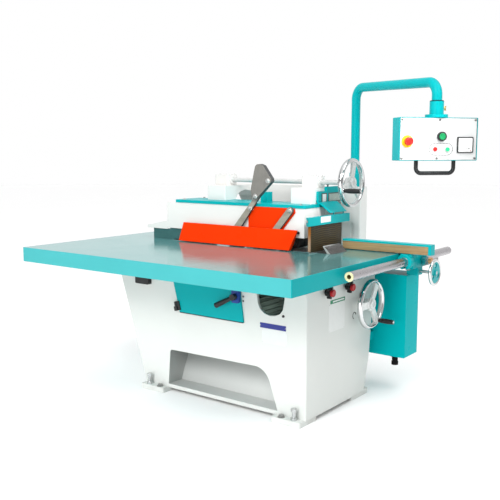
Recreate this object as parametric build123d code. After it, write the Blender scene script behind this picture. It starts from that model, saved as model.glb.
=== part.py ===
from build123d import *
import os
from math import sin, cos, tan, pi, radians, degrees, sqrt, atan2

os.makedirs("parts", exist_ok=True)

# ----------------------------------------------------------------------------
# Straight-line rip saw with chain feed.  All dimensions in millimetres.
# Working coordinates: the floor point under the table's near left corner is
# (0, 0, 0); +X is the operator's right, +Y the feed direction, +Z up.
# Every piece is moved by (-OX, -OY, 0) when it is written, so that the origin
# of the object is the centre of the four anchor holes on the floor.
# ----------------------------------------------------------------------------
OX, OY = 691.0, 715.0

# table
TABLE_W, TABLE_L, TABLE_Z = 1300.0, 1900.0, 820.0
TABLE_EDGE, TABLE_PLATE, SKIRT_T = 83.0, 20.0, 14.0
RIB_T = 12.0
TABLE_LOW = TABLE_Z - TABLE_EDGE
PLATE_LOW = TABLE_Z - TABLE_PLATE
OPEN_X0, OPEN_X1, OPEN_Y0, OPEN_Y1 = 826.0, 984.0, 285.0, 1458.0

# base casting
BASE_X0, BASE_Y0, BASE_Z0 = 378.0, 159.0, 25.0
BASE_WALL = 18.0
ANCHOR_X = (352.0, 1030.0)
ANCHOR_Y = (290.0, 1140.0)
ANCHOR_R = 9.0
LEVEL_Y = (212.0, 1222.0)

# feed chain
CHAIN_X = 905.0
CHAIN_R, CHAIN_T = 120.0, 32.0
CHAIN_Z = TABLE_Z + 2.0 - CHAIN_R
CHAIN_YI, CHAIN_YD = 402.0, 1325.0
STRAND = ((832.0, 898.0), (912.0, 978.0))
LINK_PITCH = 47.0

# saw unit
SAW_Y, SAW_Z = 800.0, 722.0
BLADE_R, BLADE_T, BLADE_TEETH = 152.5, 3.2, 28
ARBOR_R = 20.0
MOTOR_Z, MOTOR_R = 455.0, 105.0
PULLEY_R = 50.0
GUIDE_R, GUIDE_X, GUIDE_Y = 16.0, 1010.0, (660.0, 940.0)

# press hood, beam and rollers
HOOD_X0, HOOD_X1, HOOD_Y0, HOOD_Y1 = 830.0, 1057.0, 466.0, 1512.0
HOOD_Z0, HOOD_Z1, HOOD_T = 893.0, 1060.0, 8.0
TOP_T = 18.0
ROLL_R, ROLL_Z = 35.0, 863.0
ROLL_Y = (545.0, 640.0, 1010.0, 1230.0)
COL_X, COL_R, COL_Y = 992.0, 20.0, (565.0, 1191.0)

# upper frame
WALL_X0, WALL_X1, WALL_Y0, WALL_Y1 = 1302.0, 1392.0, 368.0, 1240.0
WALL_TOP = 1168.0
ARM_Y = ((493.0, 635.0), (1123.0, 1266.0))
CAP_X, CAP_Y, CAP_TOP = (1012.0, 1116.0), ((504.0, 606.0), (1158.0, 1264.0)), 1236.0
LIFT_X, LIFT_Z, LIFT_R = 1064.0, 1202.0, 14.0

# lower anti-kickback fingers in the table, in front of the chain
LOWF_Y, LOWF_Z, LOWF_R = 288.0, 803.0, 6.0
LOWF_X0, LOWF_X1 = 818.0, 1008.0
# anti-kickback fingers
FING_Y, FING_Z, FING_TIP = 381.0, 1000.0, 826.0
FING_X0, FING_X1, FING_N = 755.0, 1097.0, 34

# hanging guard
PIV_A, PIV_B, PIV_Z = 826.0, 548.0, 1048.0
LINK_DY, LINK_DZ = 108.0, -128.0

# fence and rail
RAIL_Y, RAIL_Z, RAIL_R, RAIL_X0, RAIL_X1 = -45.0, 779.0, 24.0, 431.0, 1659.0
RACK_M, PINION_N = 2.5, 12
PIN_X, PIN_Z = 1180.0, 715.0
FENCE_X = 1060.0

# handwheels
UP_WHEEL = (1064.0, 300.0, 1202.0, 139.5)
LOW_WHEEL = (918.0, 85.0, 551.0, 139.0)

# control pendant
POST_X, POST_Y, PIPE_R = 1345.0, 434.0, 26.5
BOOM_AZ, BOOM_L, BOOM_Z0, BOOM_Z1 = 28.0, 745.0, 1758.0, 1730.0
BOX_W, BOX_D, BOX_Z0, BOX_Z1 = 430.0, 88.0, 1331.0, 1549.0
BOX_AZ, BOX_SHIFT = 41.0, -4.0

# service cabinet
CAB_X0, CAB_X1, CAB_Y0, CAB_Y1, CAB_Z0, CAB_Z1 = 1132.0, 1297.0, -22.0, 350.0, 213.0, 690.0


# ----------------------------------------------------------------------------
# small helpers
# ----------------------------------------------------------------------------
def box(x0, x1, y0, y1, z0, z1):
    return Pos((x0 + x1) / 2, (y0 + y1) / 2, (z0 + z1) / 2) * Box(x1 - x0, y1 - y0, z1 - z0)


def cyl(axis, c, r, a, b):
    h = b - a
    m = (a + b) / 2
    if axis == "x":
        return Pos(m, c[0], c[1]) * Rot(0, 90, 0) * Cylinder(r, h)
    if axis == "y":
        return Pos(c[0], m, c[1]) * Rot(90, 0, 0) * Cylinder(r, h)
    return Pos(c[0], c[1], m) * Cylinder(r, h)


def prism(axis, pts, a, b):
    """Polygon pulled along an axis: x takes (y, z), y takes (x, z), z takes (x, y)."""
    if axis == "x":
        pl, d = Plane(origin=(a, 0, 0), x_dir=(0, 1, 0), z_dir=(1, 0, 0)), (1, 0, 0)
    elif axis == "y":
        pl, d = Plane(origin=(0, a, 0), x_dir=(1, 0, 0), z_dir=(0, -1, 0)), (0, 1, 0)
    else:
        pl, d = Plane(origin=(0, 0, a), x_dir=(1, 0, 0), z_dir=(0, 0, 1)), (0, 0, 1)
    return extrude(pl * make_face(Polyline(*pts, close=True)), amount=b - a, dir=d)


def hexbar(c, af, z0, z1):
    r = af / 2 / cos(pi / 6)
    pts = [(c[0] + r * cos(pi / 3 * k), c[1] + r * sin(pi / 3 * k)) for k in range(6)]
    return prism("z", pts, z0, z1)


def fuse(*s):
    out = s[0]
    for t in s[1:]:
        out = out + t
    return out


def soft(shape, edges, r):
    """Round edges, keeping the sharp shape where a radius does not fit."""
    try:
        return fillet(edges, r)
    except Exception:
        return shape


def chamf(shape, edges, r):
    try:
        return chamfer(edges, r)
    except Exception:
        return shape


PARTS = {}


def put(name, *solids):
    """Keep a piece, moved into the object's own frame."""
    flat = []
    for s in solids:
        flat.extend(list((Pos(-OX, -OY, 0) * s).solids()))
    PARTS[name] = flat


# ----------------------------------------------------------------------------
# base casting: hollow box, leaning outfeed end, flared right side, recessed
# window, access opening, rounded dark hole, four foot pads with anchor holes
# ----------------------------------------------------------------------------
YZ_OUT = [(159, 25), (1270, 25), (1497, 737), (159, 737)]
XZ_OUT = [(378, 25), (990, 25), (1043, 212), (1061, 366), (1108, 737), (378, 737)]
YZ_IN = [(177, 45), (1257, 45), (1480, 745), (177, 745)]
XZ_IN = [(396, 45), (976, 45), (1025, 212), (1043, 366), (1090, 745), (396, 745)]
base_outer = prism("x", YZ_OUT, 300, 1200) & prism("y", XZ_OUT, 100, 1600)
upright = base_outer.edges().filter_by(Axis.Z).sort_by(Axis.X)[:2]
base_outer_r = soft(base_outer, upright, 10)
base_inner = prism("x", YZ_IN, 300, 1200) & prism("y", XZ_IN, 100, 1600)
base = base_outer_r - base_inner

# recess liner and the recess itself
liner = prism("x", [(1114, 40), (312, 40), (389, 281), (1098, 272)], 378, 620)
liner = soft(liner, liner.edges().filter_by(Axis.X).sort_by(Axis.Z)[-1:], 118)
liner = liner & prism("y", [(378, 30), (506, 30), (578, 290), (378, 290)], 280, 1150)
base = base + liner
win = prism("x", [(1096, 46), (331, 46), (407, 262), (1080, 252)], 360, 620)
win = soft(win, win.edges().filter_by(Axis.X).sort_by(Axis.Z)[2:3], 16)
win = soft(win, win.edges().filter_by(Axis.X).sort_by(Axis.Z)[-1:], 100)
win = win & prism("y", [(350, 40), (488, 40), (558, 270), (350, 270)], 280, 1150)
base = base - win

# access opening behind the door
DOOR = [(545, 481), (994, 481), (1058, 722), (579, 722)]
door_open = prism("x", [(568, 500), (972, 500), (1024, 700), (598, 700)], 360, 410)
door_open = soft(door_open, door_open.edges().filter_by(Axis.X), 18)
base = base - door_open

# rounded hole near the infeed corner
dhole = prism("x", [(466, 690), (464, 640), (458, 600), (444, 570), (418, 550), (384, 542), (350, 545),
                    (320, 557), (302, 580), (294, 615), (290, 650), (290, 690)], 360, 410)
dhole = soft(dhole, dhole.edges().filter_by(Axis.X), 12)
base = base - dhole

# shelf that carries the saw guides
for ya, yb in ((625, 695), (905, 975)):
    base = base + (box(982, 1100, ya, yb, 280, 302) & base_outer)

# bosses for the two star screws and the lower handwheel, inside the front wall
for kx in (551.0, 759.0):
    base = base + cyl("y", (kx, 664), 22, 176, 200)
    base = base - cyl("y", (kx, 664), 6.05, 150, 210)
base = base + cyl("y", (LOW_WHEEL[0], LOW_WHEEL[2]), 34, 139, 215)
base = base - cyl("y", (LOW_WHEEL[0], LOW_WHEEL[2]), 14.05, 130, 225)

# foot pads
for px0, px1 in ((330, 495), (862, 1056)):
    for py0, py1 in ((165, 341), (1098, 1270)):
        pad = box(px0, px1, py0, py1, 0, 30)
        pad = soft(pad, pad.edges().filter_by(Axis.Z), 10)
        base = base + pad
for ax in ANCHOR_X:
    for ay in ANCHOR_Y:
        base = base - cyl("z", (ax, ay), ANCHOR_R, -5, 40)
    for ly in LEVEL_Y:
        base = base - cyl("z", (ax, ly), 10.0, -5, 40)
put("base_casting", base)

# levelling screws with their lock nuts
lev = []
for ax in ANCHOR_X:
    for ly in LEVEL_Y:
        s = cyl("z", (ax, ly), 10.0, 1.0, 58) + hexbar((ax, ly), 30, 30.0, 45)
        if ax < OX:
            s = s + cyl("z", (ax, ly), 10.0, 50, 78) + hexbar((ax, ly), 30, 76, 91)
        lev.append(s)
put("levelling_screws", *lev)

# ----------------------------------------------------------------------------
# table: plate with a deep edge and a seat on the base, opening for the chain
# ----------------------------------------------------------------------------
table = box(0, TABLE_W, 0, TABLE_L, TABLE_LOW, TABLE_Z)
table = soft(table, table.edges().filter_by(Axis.Z), 6)
# cast ribs: the underside is a grid of pockets, with a broad seat on the base
T_X1, T_Y1 = TABLE_W - SKIRT_T, TABLE_L - SKIRT_T


def cells(a, b, n):
    """n equal pockets between a and b with a rib between neighbours."""
    w = (b - a - (n - 1) * RIB_T) / n
    return [(a + k * (w + RIB_T), a + k * (w + RIB_T) + w) for k in range(n)]


pockets = []
for xs, ys in ((cells(SKIRT_T, 378, 2), cells(SKIRT_T, T_Y1, 9)),
               (cells(390, T_X1, 5), cells(1497, T_Y1, 2)),
               (cells(1108, T_X1, 1), cells(SKIRT_T, 1485, 8)),
               (cells(390, 1096, 4), cells(SKIRT_T, 159, 1)),
               (((400, 594), (606, 790)), cells(181, 1474, 7)),
               (((788, 1086),), ((181, 1474),))):
    for xa, xb in xs:
        for ya, yb in ys:
            pockets.append(box(xa, xb, ya, yb, TABLE_LOW - 1, PLATE_LOW))
table = table - pockets
table = table - box(OPEN_X0, OPEN_X1, OPEN_Y0, OPEN_Y1, TABLE_LOW - 5, TABLE_Z + 5)
# room on the right for the upright of the upper frame
table = chamf(table, table.edges().filter_by(GeomType.LINE).filter_by(
    lambda e: abs(e.center().Z - TABLE_Z) < 0.01 and (abs(e.center().Y) < 0.01 or abs(e.center().X) < 0.01
                                                     or abs(e.center().Y - TABLE_L) < 0.01)), 2.0)

# steel wear strips let into the table along the chain opening
table = table + box(800, OPEN_X0, 384, 1440, TABLE_Z - 1, TABLE_Z + 1.2) + box(OPEN_X1, 1010, 384, 1440, TABLE_Z - 1, TABLE_Z + 1.2)
# slot for the lower fingers, with a bearing boss for their shaft at each end
for xa, xb in ((LOWF_X0 - 20, LOWF_X0), (LOWF_X1, LOWF_X1 + 20)):
    table = table + box(xa, xb, LOWF_Y - 14, LOWF_Y + 14, LOWF_Z - 15, PLATE_LOW + 2)
table = table - box(LOWF_X0, LOWF_X1, LOWF_Y - 14, 376, TABLE_LOW - 5, TABLE_Z + 5)
table = table - cyl("x", (LOWF_Y, LOWF_Z), LOWF_R + 0.05, LOWF_X0 - 14, LOWF_X1 + 14)
put("table_top", table)

# ----------------------------------------------------------------------------
# feed chain: two strands of slats round two chain wheels, on a guide bed
# ----------------------------------------------------------------------------
def stadium(r, x0, x1):
    s = cyl("x", (CHAIN_YI, CHAIN_Z), r, x0, x1) + cyl("x", (CHAIN_YD, CHAIN_Z), r, x0, x1)
    return s + box(x0, x1, CHAIN_YI, CHAIN_YD, CHAIN_Z - r, CHAIN_Z + r)


strands = []
for x0, x1 in STRAND:
    ring = stadium(CHAIN_R, x0, x1) - stadium(CHAIN_R - CHAIN_T, x0 - 1, x1 + 1)
    cuts = []
    n = int((CHAIN_YD - CHAIN_YI) / LINK_PITCH)
    for k in range(n + 1):
        y = CHAIN_YI + (k + 0.5) * LINK_PITCH
        if y < CHAIN_YD:
            cuts.append(box(x0 - 1, x1 + 1, y - 2, y + 2, CHAIN_Z + CHAIN_R - 10, CHAIN_Z + CHAIN_R + 2))
    for cy, a0, sgn in ((CHAIN_YI, 0, -1), (CHAIN_YD, 0, 1)):
        for k in range(6):
            a = radians((k + 0.5) * 24)
            c = Pos((x0 + x1) / 2, cy + sgn * (CHAIN_R - 3) * sin(a), CHAIN_Z + (CHAIN_R - 3) * cos(a)) * \
                Rot(-sgn * degrees(a), 0, 0) * Box(x1 - x0 + 2, 4, 14)
            cuts.append(c)
    ring = ring - cuts
    strands.append(ring)
put("feed_chain", *strands)


def chain_wheel(cy, xa, xb):
    w = cyl("x", (cy, CHAIN_Z), CHAIN_R - CHAIN_T - 0.6, 838, 892) + \
        cyl("x", (cy, CHAIN_Z), CHAIN_R - CHAIN_T - 0.6, 918, 972)
    for k in range(6):
        a = radians(60 * k)
        w = w - cyl("x", (cy + 55 * cos(a), CHAIN_Z + 55 * sin(a)), 15, 830, 980)
    return w + cyl("x", (cy, CHAIN_Z), 34, 838, 972) + cyl("x", (cy, CHAIN_Z), 20, xa, xb)


put("idler_wheel", chain_wheel(CHAIN_YI, 796, 1014))
put("drive_wheel", chain_wheel(CHAIN_YD, 600, 1014))

# guide bed: two rails under the upper run, cross bars, bearing cheeks
bed = box(838, 892, 478, 1248, 762, CHAIN_Z + CHAIN_R - CHAIN_T) + \
    box(918, 972, 478, 1248, 762, CHAIN_Z + CHAIN_R - CHAIN_T)
for ya, yb in ((500, 530), (1198, 1228)):
    bed = bed + box(800, 1010, ya, yb, 732, 763)
for x0, x1 in ((800, 822), (988, 1010)):
    ch = box(x0, x1, 362, 548, 662, PLATE_LOW)
    bed = bed + (ch - cyl("x", (CHAIN_YI, CHAIN_Z), 20.05, x0 - 5, x1 + 5))
    ch = box(x0, x1, 1190, 1365, 662, PLATE_LOW)
    bed = bed + (ch - cyl("x", (CHAIN_YD, CHAIN_Z), 20.05, x0 - 5, x1 + 5))
put("chain_bed", bed)

# feed gear motor, carried on the drive wheel's shaft, stayed to the table
gm = box(640, 760, 1240, 1410, 612, 728)
gm = soft(gm, gm.edges(), 10)
gm = gm - cyl("x", (CHAIN_YD, CHAIN_Z), 20.05, 630, 770)
gm = gm + cyl("z", (700, 1256), 72, 340, 614) + box(690, 710, 1308, 1338, 726, PLATE_LOW)
for k in range(12):
    a = radians(30 * k)
    gm = gm + Pos(700 + 76 * cos(a), 1256 + 76 * sin(a), 470) * Rot(0, 0, 30 * k) * Box(12, 4, 200)
put("feed_gear_motor", gm)

# ----------------------------------------------------------------------------
# saw unit: guides, carriage with bearing housing, motor, belt, arbor, blade
# ----------------------------------------------------------------------------
put("saw_guides", *[cyl("z", (GUIDE_X, gy), GUIDE_R, 302, PLATE_LOW) for gy in GUIDE_Y])

car = box(990, 1006, 690, 910, 368, 772)
for gy in GUIDE_Y:
    for z0, z1 in ((400, 500), (650, 760)):
        car = car + cyl("z", (GUIDE_X, gy), 26, z0, z1)
        y_in = 692 if gy < SAW_Y else 908
        car = car + box(992, 1006, min(gy, y_in), max(gy, y_in), z0 + 5, z1 - 5)
for gy in GUIDE_Y:
    car = car - cyl("z", (GUIDE_X, gy), GUIDE_R + 0.05, 380, 790)
car = car + cyl("x", (SAW_Y, SAW_Z), 36, 926, 992)
car = car - cyl("x", (SAW_Y, SAW_Z), ARBOR_R + 0.05, 900, 1030)
car = car - cyl("x", (SAW_Y, MOTOR_Z), 30, 990, 1030)
put("saw_carriage", car)

mot = cyl("x", (SAW_Y, MOTOR_Z), MOTOR_R - 8, 650, 982) + cyl("x", (SAW_Y, MOTOR_Z), MOTOR_R - 2, 974, 990)
mot = mot + cyl("x", (SAW_Y, MOTOR_Z), MOTOR_R - 4, 610, 654)
for k in range(24):
    a = radians(15 * k)
    mot = mot + Pos(810, SAW_Y + (MOTOR_R - 6) * cos(a), MOTOR_Z + (MOTOR_R - 6) * sin(a)) * \
        Rot(15 * k, 0, 0) * Box(300, 16, 4)
mot = mot - cyl("x", (SAW_Y, MOTOR_Z), 18.05, 930, 1000)
put("saw_motor", mot)

PX0, PX1 = 1008.5, 1034.0
mp = cyl("x", (SAW_Y, MOTOR_Z), 18, 935, PX1)
mp = mp + cyl("x", (SAW_Y, MOTOR_Z), PULLEY_R, PX0, PX1) + cyl("x", (SAW_Y, MOTOR_Z), PULLEY_R + 8, PX0, PX0 + 3) \
    + cyl("x", (SAW_Y, MOTOR_Z), PULLEY_R + 8, PX1 - 3, PX1)
put("motor_pulley", mp)

sp = cyl("x", (SAW_Y, SAW_Z), ARBOR_R, 908, PX1) + cyl("x", (SAW_Y, SAW_Z), 40, 906.6, 918) \
    + cyl("x", (SAW_Y, SAW_Z), 12.7, 886, 908)
sp = sp + cyl("x", (SAW_Y, SAW_Z), PULLEY_R, PX0, PX1) + cyl("x", (SAW_Y, SAW_Z), PULLEY_R + 8, PX0, PX0 + 3) \
    + cyl("x", (SAW_Y, SAW_Z), PULLEY_R + 8, PX1 - 3, PX1)

flange = cyl("x", (SAW_Y, SAW_Z), 40, 896, 903.4) - cyl("x", (SAW_Y, SAW_Z), 12.7, 880, 910)
nut = Pos(SAW_Y - SAW_Y, 0, 0) * hexbar((0, 0), 38, 0, 12)
nut = Pos(884, SAW_Y, SAW_Z) * Rot(0, 90, 0) * nut
nut = nut - cyl("x", (SAW_Y, SAW_Z), 12.7, 870, 920)
put("saw_arbor", sp, flange, nut)

bl = cyl("x", (SAW_Y, SAW_Z), BLADE_R, 905 - BLADE_T / 2, 905 + BLADE_T / 2)
gul = []
for k in range(BLADE_TEETH):
    a0 = 2 * pi * k / BLADE_TEETH
    p = lambda r, a: (SAW_Y + r * cos(a), SAW_Z + r * sin(a))
    gul.append(prism("x", [p(BLADE_R + 2, a0), p(BLADE_R + 2, a0 + 0.19), p(BLADE_R - 2, a0 + 0.16),
                           p(BLADE_R - 14, a0 + 0.05), p(BLADE_R - 13, a0 + 0.005)], 900, 910))
bl = bl - gul
bl = bl - cyl("x", (SAW_Y, SAW_Z), 12.7, 890, 920)
put("saw_blade", bl)


def belt_loop(r, x0, x1):
    return cyl("x", (SAW_Y, SAW_Z), r, x0, x1) + cyl("x", (SAW_Y, MOTOR_Z), r, x0, x1) + \
        box(x0, x1, SAW_Y - r, SAW_Y + r, MOTOR_Z, SAW_Z)


put("drive_belt", belt_loop(PULLEY_R + 6.0, PX0 + 4, PX1 - 4) - belt_loop(PULLEY_R + 0.4, PX0, PX1))

# ----------------------------------------------------------------------------
# access door on the left side, on two hinges along its leaning edge
# ----------------------------------------------------------------------------
HN = sqrt(43.0 ** 2 + 161.0 ** 2)
HDIR = (0.0, 64.0 / sqrt(64.0 ** 2 + 241.0 ** 2), 241.0 / sqrt(64.0 ** 2 + 241.0 ** 2))
HP = (362.0, 1003.3 + 11.4, 516.0)
HPL = Plane(origin=HP, x_dir=(1, 0, 0), z_dir=HDIR)
door = prism("x", DOOR, 367.5, 377.5)
door = soft(door, door.edges().filter_by(Axis.X), 5)
# folded rim makes the door a shallow pan on its inner side
door = door - prism("x", [(563, 493), (982, 493), (1040, 710), (590, 710)], 371.5, 380)
put("access_door", door)


def hinge_fixed(s):
    b = Pos(0, 0, s) * (cyl("z", (0, 0), 8.5, -26, 0) + cyl("z", (0, 0), 4.0, -26, 26)
                        + box(-3, 16, 0, 18, -26, 0) + box(6, 16, 10.5, 18, -26, 26))
    return HPL.location * b


def hinge_moving(s):
    b = Pos(0, 0, s) * (cyl("z", (0, 0), 8.5, 0.4, 26) + box(-3, 5.5, -26, 0, 0.4, 26)
                        + box(-1, 5.5, -26, -11, -26, 26))
    b = b - Pos(0, 0, s) * cyl("z", (0, 0), 4.05, -30, 30)
    return HPL.location * b


put("door_hinges", hinge_fixed(0), hinge_fixed(182))

LEV_Y, LEV_Z = 585.0, 622.0
lb = box(346, 367.5, 562, 608, 588, 656)
lb = soft(lb, lb.edges().filter_by(Axis.X), 8)
lb = lb - cyl("x", (LEV_Y, LEV_Z), 9.05, 340, 362)
put("door_fittings", lb, hinge_moving(0), hinge_moving(182))
LDIR = (cos(radians(-26.5)), sin(radians(-26.5)))
lvpl = Plane(origin=(332, LEV_Y + 8 * LDIR[0], LEV_Z + 8 * LDIR[1]), x_dir=(1, 0, 0), z_dir=(0, LDIR[0], LDIR[1]))
grip_l = loft([lvpl * Circle(11.0), lvpl.offset(60) * Circle(13.5), lvpl.offset(122) * Circle(15.0)])
lv = cyl("x", (LEV_Y, LEV_Z), 9.0, 330, 361) + cyl("x", (LEV_Y, LEV_Z), 17, 320, 345) + grip_l
put("door_lever", lv)

# black block under the table edge near the outfeed end
buf = box(350, 378, 1220, 1326, 617, 700)
buf = soft(buf, buf.edges().filter_by(Axis.X), 8)
put("side_buffer", buf)

# ----------------------------------------------------------------------------
# upper frame: upright beside the table, foot bolted to the base's right side,
# two arms over the hood, gearbox caps for the lift shaft, boom socket
# ----------------------------------------------------------------------------
wall = box(WALL_X0, WALL_X1, WALL_Y0, WALL_Y1, 560, WALL_TOP)
wall = soft(wall, wall.edges().filter_by(Axis.Z), 12)
leg = box(1090, 1310, 480, WALL_Y1, 560, 720) - base_outer
upper = wall + leg
ARM = [(940, 1078), (1050, 1078), (1062, 1104), (1092, 1126), (1150, 1137), (1215, 1128), (1268, 1096),
       (WALL_X0, 1045), (WALL_X0, WALL_TOP), (940, WALL_TOP)]
arms = []
for (ya, yb), cy in zip(ARM_Y, COL_Y):
    arm = prism("y", ARM, ya, yb)
    arm = soft(arm, arm.edges().filter_by(Axis.Z).sort_by(Axis.X)[:2], 8)
    arms.append(arm - cyl("z", (COL_X, cy), COL_R + 0.05, 1070, 1162))
# adjusting slot in the upright, open towards the table
slot = box(1296, 1314, 409, 433, 868, 937) + cyl("x", (421, 868), 12, 1296, 1314) + cyl("x", (421, 937), 12, 1296, 1314)
upper = upper - slot
# ribbed hollow back of the upright and open underside of its foot
for ya, yb in ((462, 630), (646, 814), (830, 998), (1014, 1120), (1136, 1224)):
    for za, zb in ((580, 716), (732, 872), (888, 1030)):
        upper = upper - box(1322, 1400, ya, yb, za, zb)
for ya, yb in ((500, 690), (706, 896), (912, 1102), (1118, 1224)):
    upper = upper - box(1146, 1300, ya, yb, 550, 700)

caps = []
for ya, yb in CAP_Y:
    c = box(CAP_X[0], CAP_X[1], ya, yb, WALL_TOP, CAP_TOP)
    c = soft(c, c.edges().filter_by(Axis.Z), 10)
    c = chamf(c, c.edges().filter_by(Axis.X).sort_by(Axis.Z)[2:].sort_by(Axis.Y)[-1:], 16)
    c = c + cyl("y", (LIFT_X, LIFT_Z), 30, ya - 6, yb + 6)
    c = c - cyl("y", (LIFT_X, LIFT_Z), LIFT_R + 0.05, ya - 20, yb + 20)
    caps.append(c)
# socket of the control boom on top of the upright
soc = cyl("z", (POST_X, POST_Y), 42, WALL_TOP, WALL_TOP + 14) + cyl("z", (POST_X, POST_Y), 33, WALL_TOP, WALL_TOP + 84)
soc = chamf(soc, soc.edges().filter_by(GeomType.CIRCLE).sort_by(Axis.Z)[-1:], 3)
soc = soc - cyl("z", (POST_X, POST_Y), PIPE_R + 0.05, WALL_TOP + 4, WALL_TOP + 100)
put("upper_frame", upper, *arms)
put("frame_caps", *caps, soc)

# ----------------------------------------------------------------------------
# press hood with its top plate and outfeed canopy
# ----------------------------------------------------------------------------
hood = box(HOOD_X0, HOOD_X1, HOOD_Y0, HOOD_Y1, HOOD_Z0, HOOD_Z1)
hood = soft(hood, hood.edges().filter_by(Axis.Y).sort_by(Axis.Z)[2:].sort_by(Axis.X)[-1:], 24)
hood = hood - box(HOOD_X0 + HOOD_T, HOOD_X1 - HOOD_T, HOOD_Y0 + HOOD_T, HOOD_Y1 - HOOD_T, HOOD_Z0 - 5, HOOD_Z1 - HOOD_T)
hood = hood - box(872, HOOD_X1 - HOOD_T, HOOD_Y0 - 5, HOOD_Y0 + HOOD_T + 5, HOOD_Z0 - 5, 970)
hood = hood - box(HOOD_X0 + HOOD_T, HOOD_X1 - HOOD_T, HOOD_Y1 - HOOD_T - 5, HOOD_Y1 + 5, HOOD_Z0 - 5, 928)
canopy = prism("x", [(1512, 884), (1690, 884), (1690, 902), (1512, 940)], HOOD_X0, HOOD_X1) - \
    prism("x", [(1507, 870), (1684, 870), (1684, 897), (1507, 934)], HOOD_X0 + 6, HOOD_X1 - 6)
hood = hood + canopy
for cy in COL_Y:
    hood = hood - cyl("z", (COL_X, cy), COL_R + 3, 1040, 1070)
put("press_hood", hood)

tp = box(826, 1060, 462, 1440, HOOD_Z1, HOOD_Z1 + TOP_T)
tp = soft(tp, tp.edges().filter_by(Axis.Z), 12)
for cy in COL_Y:
    tp = tp - cyl("z", (COL_X, cy), COL_R + 3, 1050, 1090)
inspection = box(948, 1010, 808, 858, HOOD_Z1 + TOP_T - 1, 1138)
inspection = soft(inspection, inspection.edges().filter_by(Axis.Z), 6)
tp = tp + inspection
put("hood_top_plate", tp)

# rubber skirts that close the outfeed mouth at both sides
put("outfeed_skirts",
    box(838, 844, 1345, 1460, 823, 886) + box(838, 844, 1460, 1642, 820.4, 886) + box(838, 844, 1345, 1496, 880, 905),
    box(1043, 1049, 1345, 1642, 820.4, 886) + box(1043, 1049, 1345, 1496, 880, 905))

# ----------------------------------------------------------------------------
# press beam on two guide columns, with four press rollers
# ----------------------------------------------------------------------------
beam = box(850, 1036, 505, 1450, 940, 966)
brackets = []
for ry in ROLL_Y:
    for x0, x1 in ((846, 856), (954, 964)):
        ck = box(x0, x1, ry - 22, ry + 22, ROLL_Z, 940) + cyl("x", (ry, ROLL_Z), 22, x0, x1)
        brackets.append(ck - cyl("x", (ry, ROLL_Z), 10.05, 840, 970))
for cy in COL_Y:
    beam = beam + cyl("z", (COL_X, cy), COL_R, 960, 1104) + cyl("z", (COL_X, cy), 34, 960, 984)
put("press_beam", fuse(beam, *brackets))
for k, ry in enumerate(ROLL_Y):
    r = cyl("x", (ry, ROLL_Z), ROLL_R, 858, 952)
    r = r - (cyl("x", (ry, ROLL_Z), ROLL_R + 2, 900, 910) - cyl("x", (ry, ROLL_Z), ROLL_R - 6, 899, 911))
    r = r + cyl("x", (ry, ROLL_Z), 10, 842, 968)
    put("press_roller_%d" % (k + 1), r)

# ----------------------------------------------------------------------------
# anti-kickback fingers on their bar, with the sloping cover and scale plate
# ----------------------------------------------------------------------------
bar = prism("z", [(713, 365), (1167, 365), (1167, 391), (732, 391)], 974, 1021)
bar = bar - box(754, 1159, 369.5, 400, 970, 1012)
shaft = cyl("x", (FING_Y, FING_Z), 7, 740, 1163)
cover = prism("x", [(384, 1031), (395, 1031), (460, 1078), (477, 1078), (477, 1088), (452, 1088)], 985, 1167)
for sx in (1020.0, 1132.0):
    cover = cover + cyl("z", (sx, 389.5), 3.5, 1021, 1033)
scale_plate = box(997, 1275, 477.5, ARM_Y[0][0], 1084, 1149) + box(1088, 1222, 477.5, ARM_Y[0][0], 1148, 1174)
scale_plate = soft(scale_plate, scale_plate.edges().filter_by(Axis.Y), 5)
put("finger_bar", bar + shaft, cover, scale_plate, box(749.5, 754, 375, 390, 832, 974))

pitch = (FING_X1 - FING_X0) / FING_N
fing = []
for k in range(FING_N):
    x0 = FING_X0 + k * pitch + 0.5
    x1 = FING_X0 + (k + 1) * pitch - 0.5
    f = prism("x", [(FING_Y - 3, 995), (FING_Y - 3, 836), (FING_Y, FING_TIP), (FING_Y + 3, FING_TIP), (FING_Y + 3, 995)], x0, x1)
    f = f + cyl("x", (FING_Y, FING_Z), 10.5, x0, x1) - cyl("x", (FING_Y, FING_Z), 7.05, x0 - 1, x1 + 1)
    fing.append(f)
put("kickback_fingers", *fing)

# lower fingers: a row of pointed plates on one shaft, raised out of the table at rest
ua, va = (cos(radians(48)), sin(radians(48))), (-sin(radians(48)), cos(radians(48)))
low_prof = [(LOWF_Y + a * ua[0] + b * va[0], LOWF_Z + a * ua[1] + b * va[1])
            for a, b in ((0, 9), (52, 7.5), (76, 1.5), (76, -1.5), (50, -5), (0, -9))]
low = cyl("x", (LOWF_Y, LOWF_Z), LOWF_R, LOWF_X0 - 13, LOWF_X1 + 13)
low = low + cyl("x", (LOWF_Y, LOWF_Z), 9, LOWF_X0 + 2, LOWF_X1 - 2)
for k in range(15):
    x0 = 823.5 + 12.1 * k
    low = low + prism("x", low_prof, x0, x0 + 9.6)
put("lower_fingers", low)

# ----------------------------------------------------------------------------
# hanging red guard on a pair of links, one with a counterweight plate
# ----------------------------------------------------------------------------
mpl = prism("x", [(812, 1059.5), (530, 1059.5), (524, 1036), (610, 932), (852, 932), (852, 1030)], 822, 830)
for py in (PIV_A, PIV_B):
    mpl = mpl + cyl("x", (py, PIV_Z), 7.0, 798.5, 824) + cyl("x", (py, PIV_Z), 13, 818.5, 824)
put("guard_mount", mpl)

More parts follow.
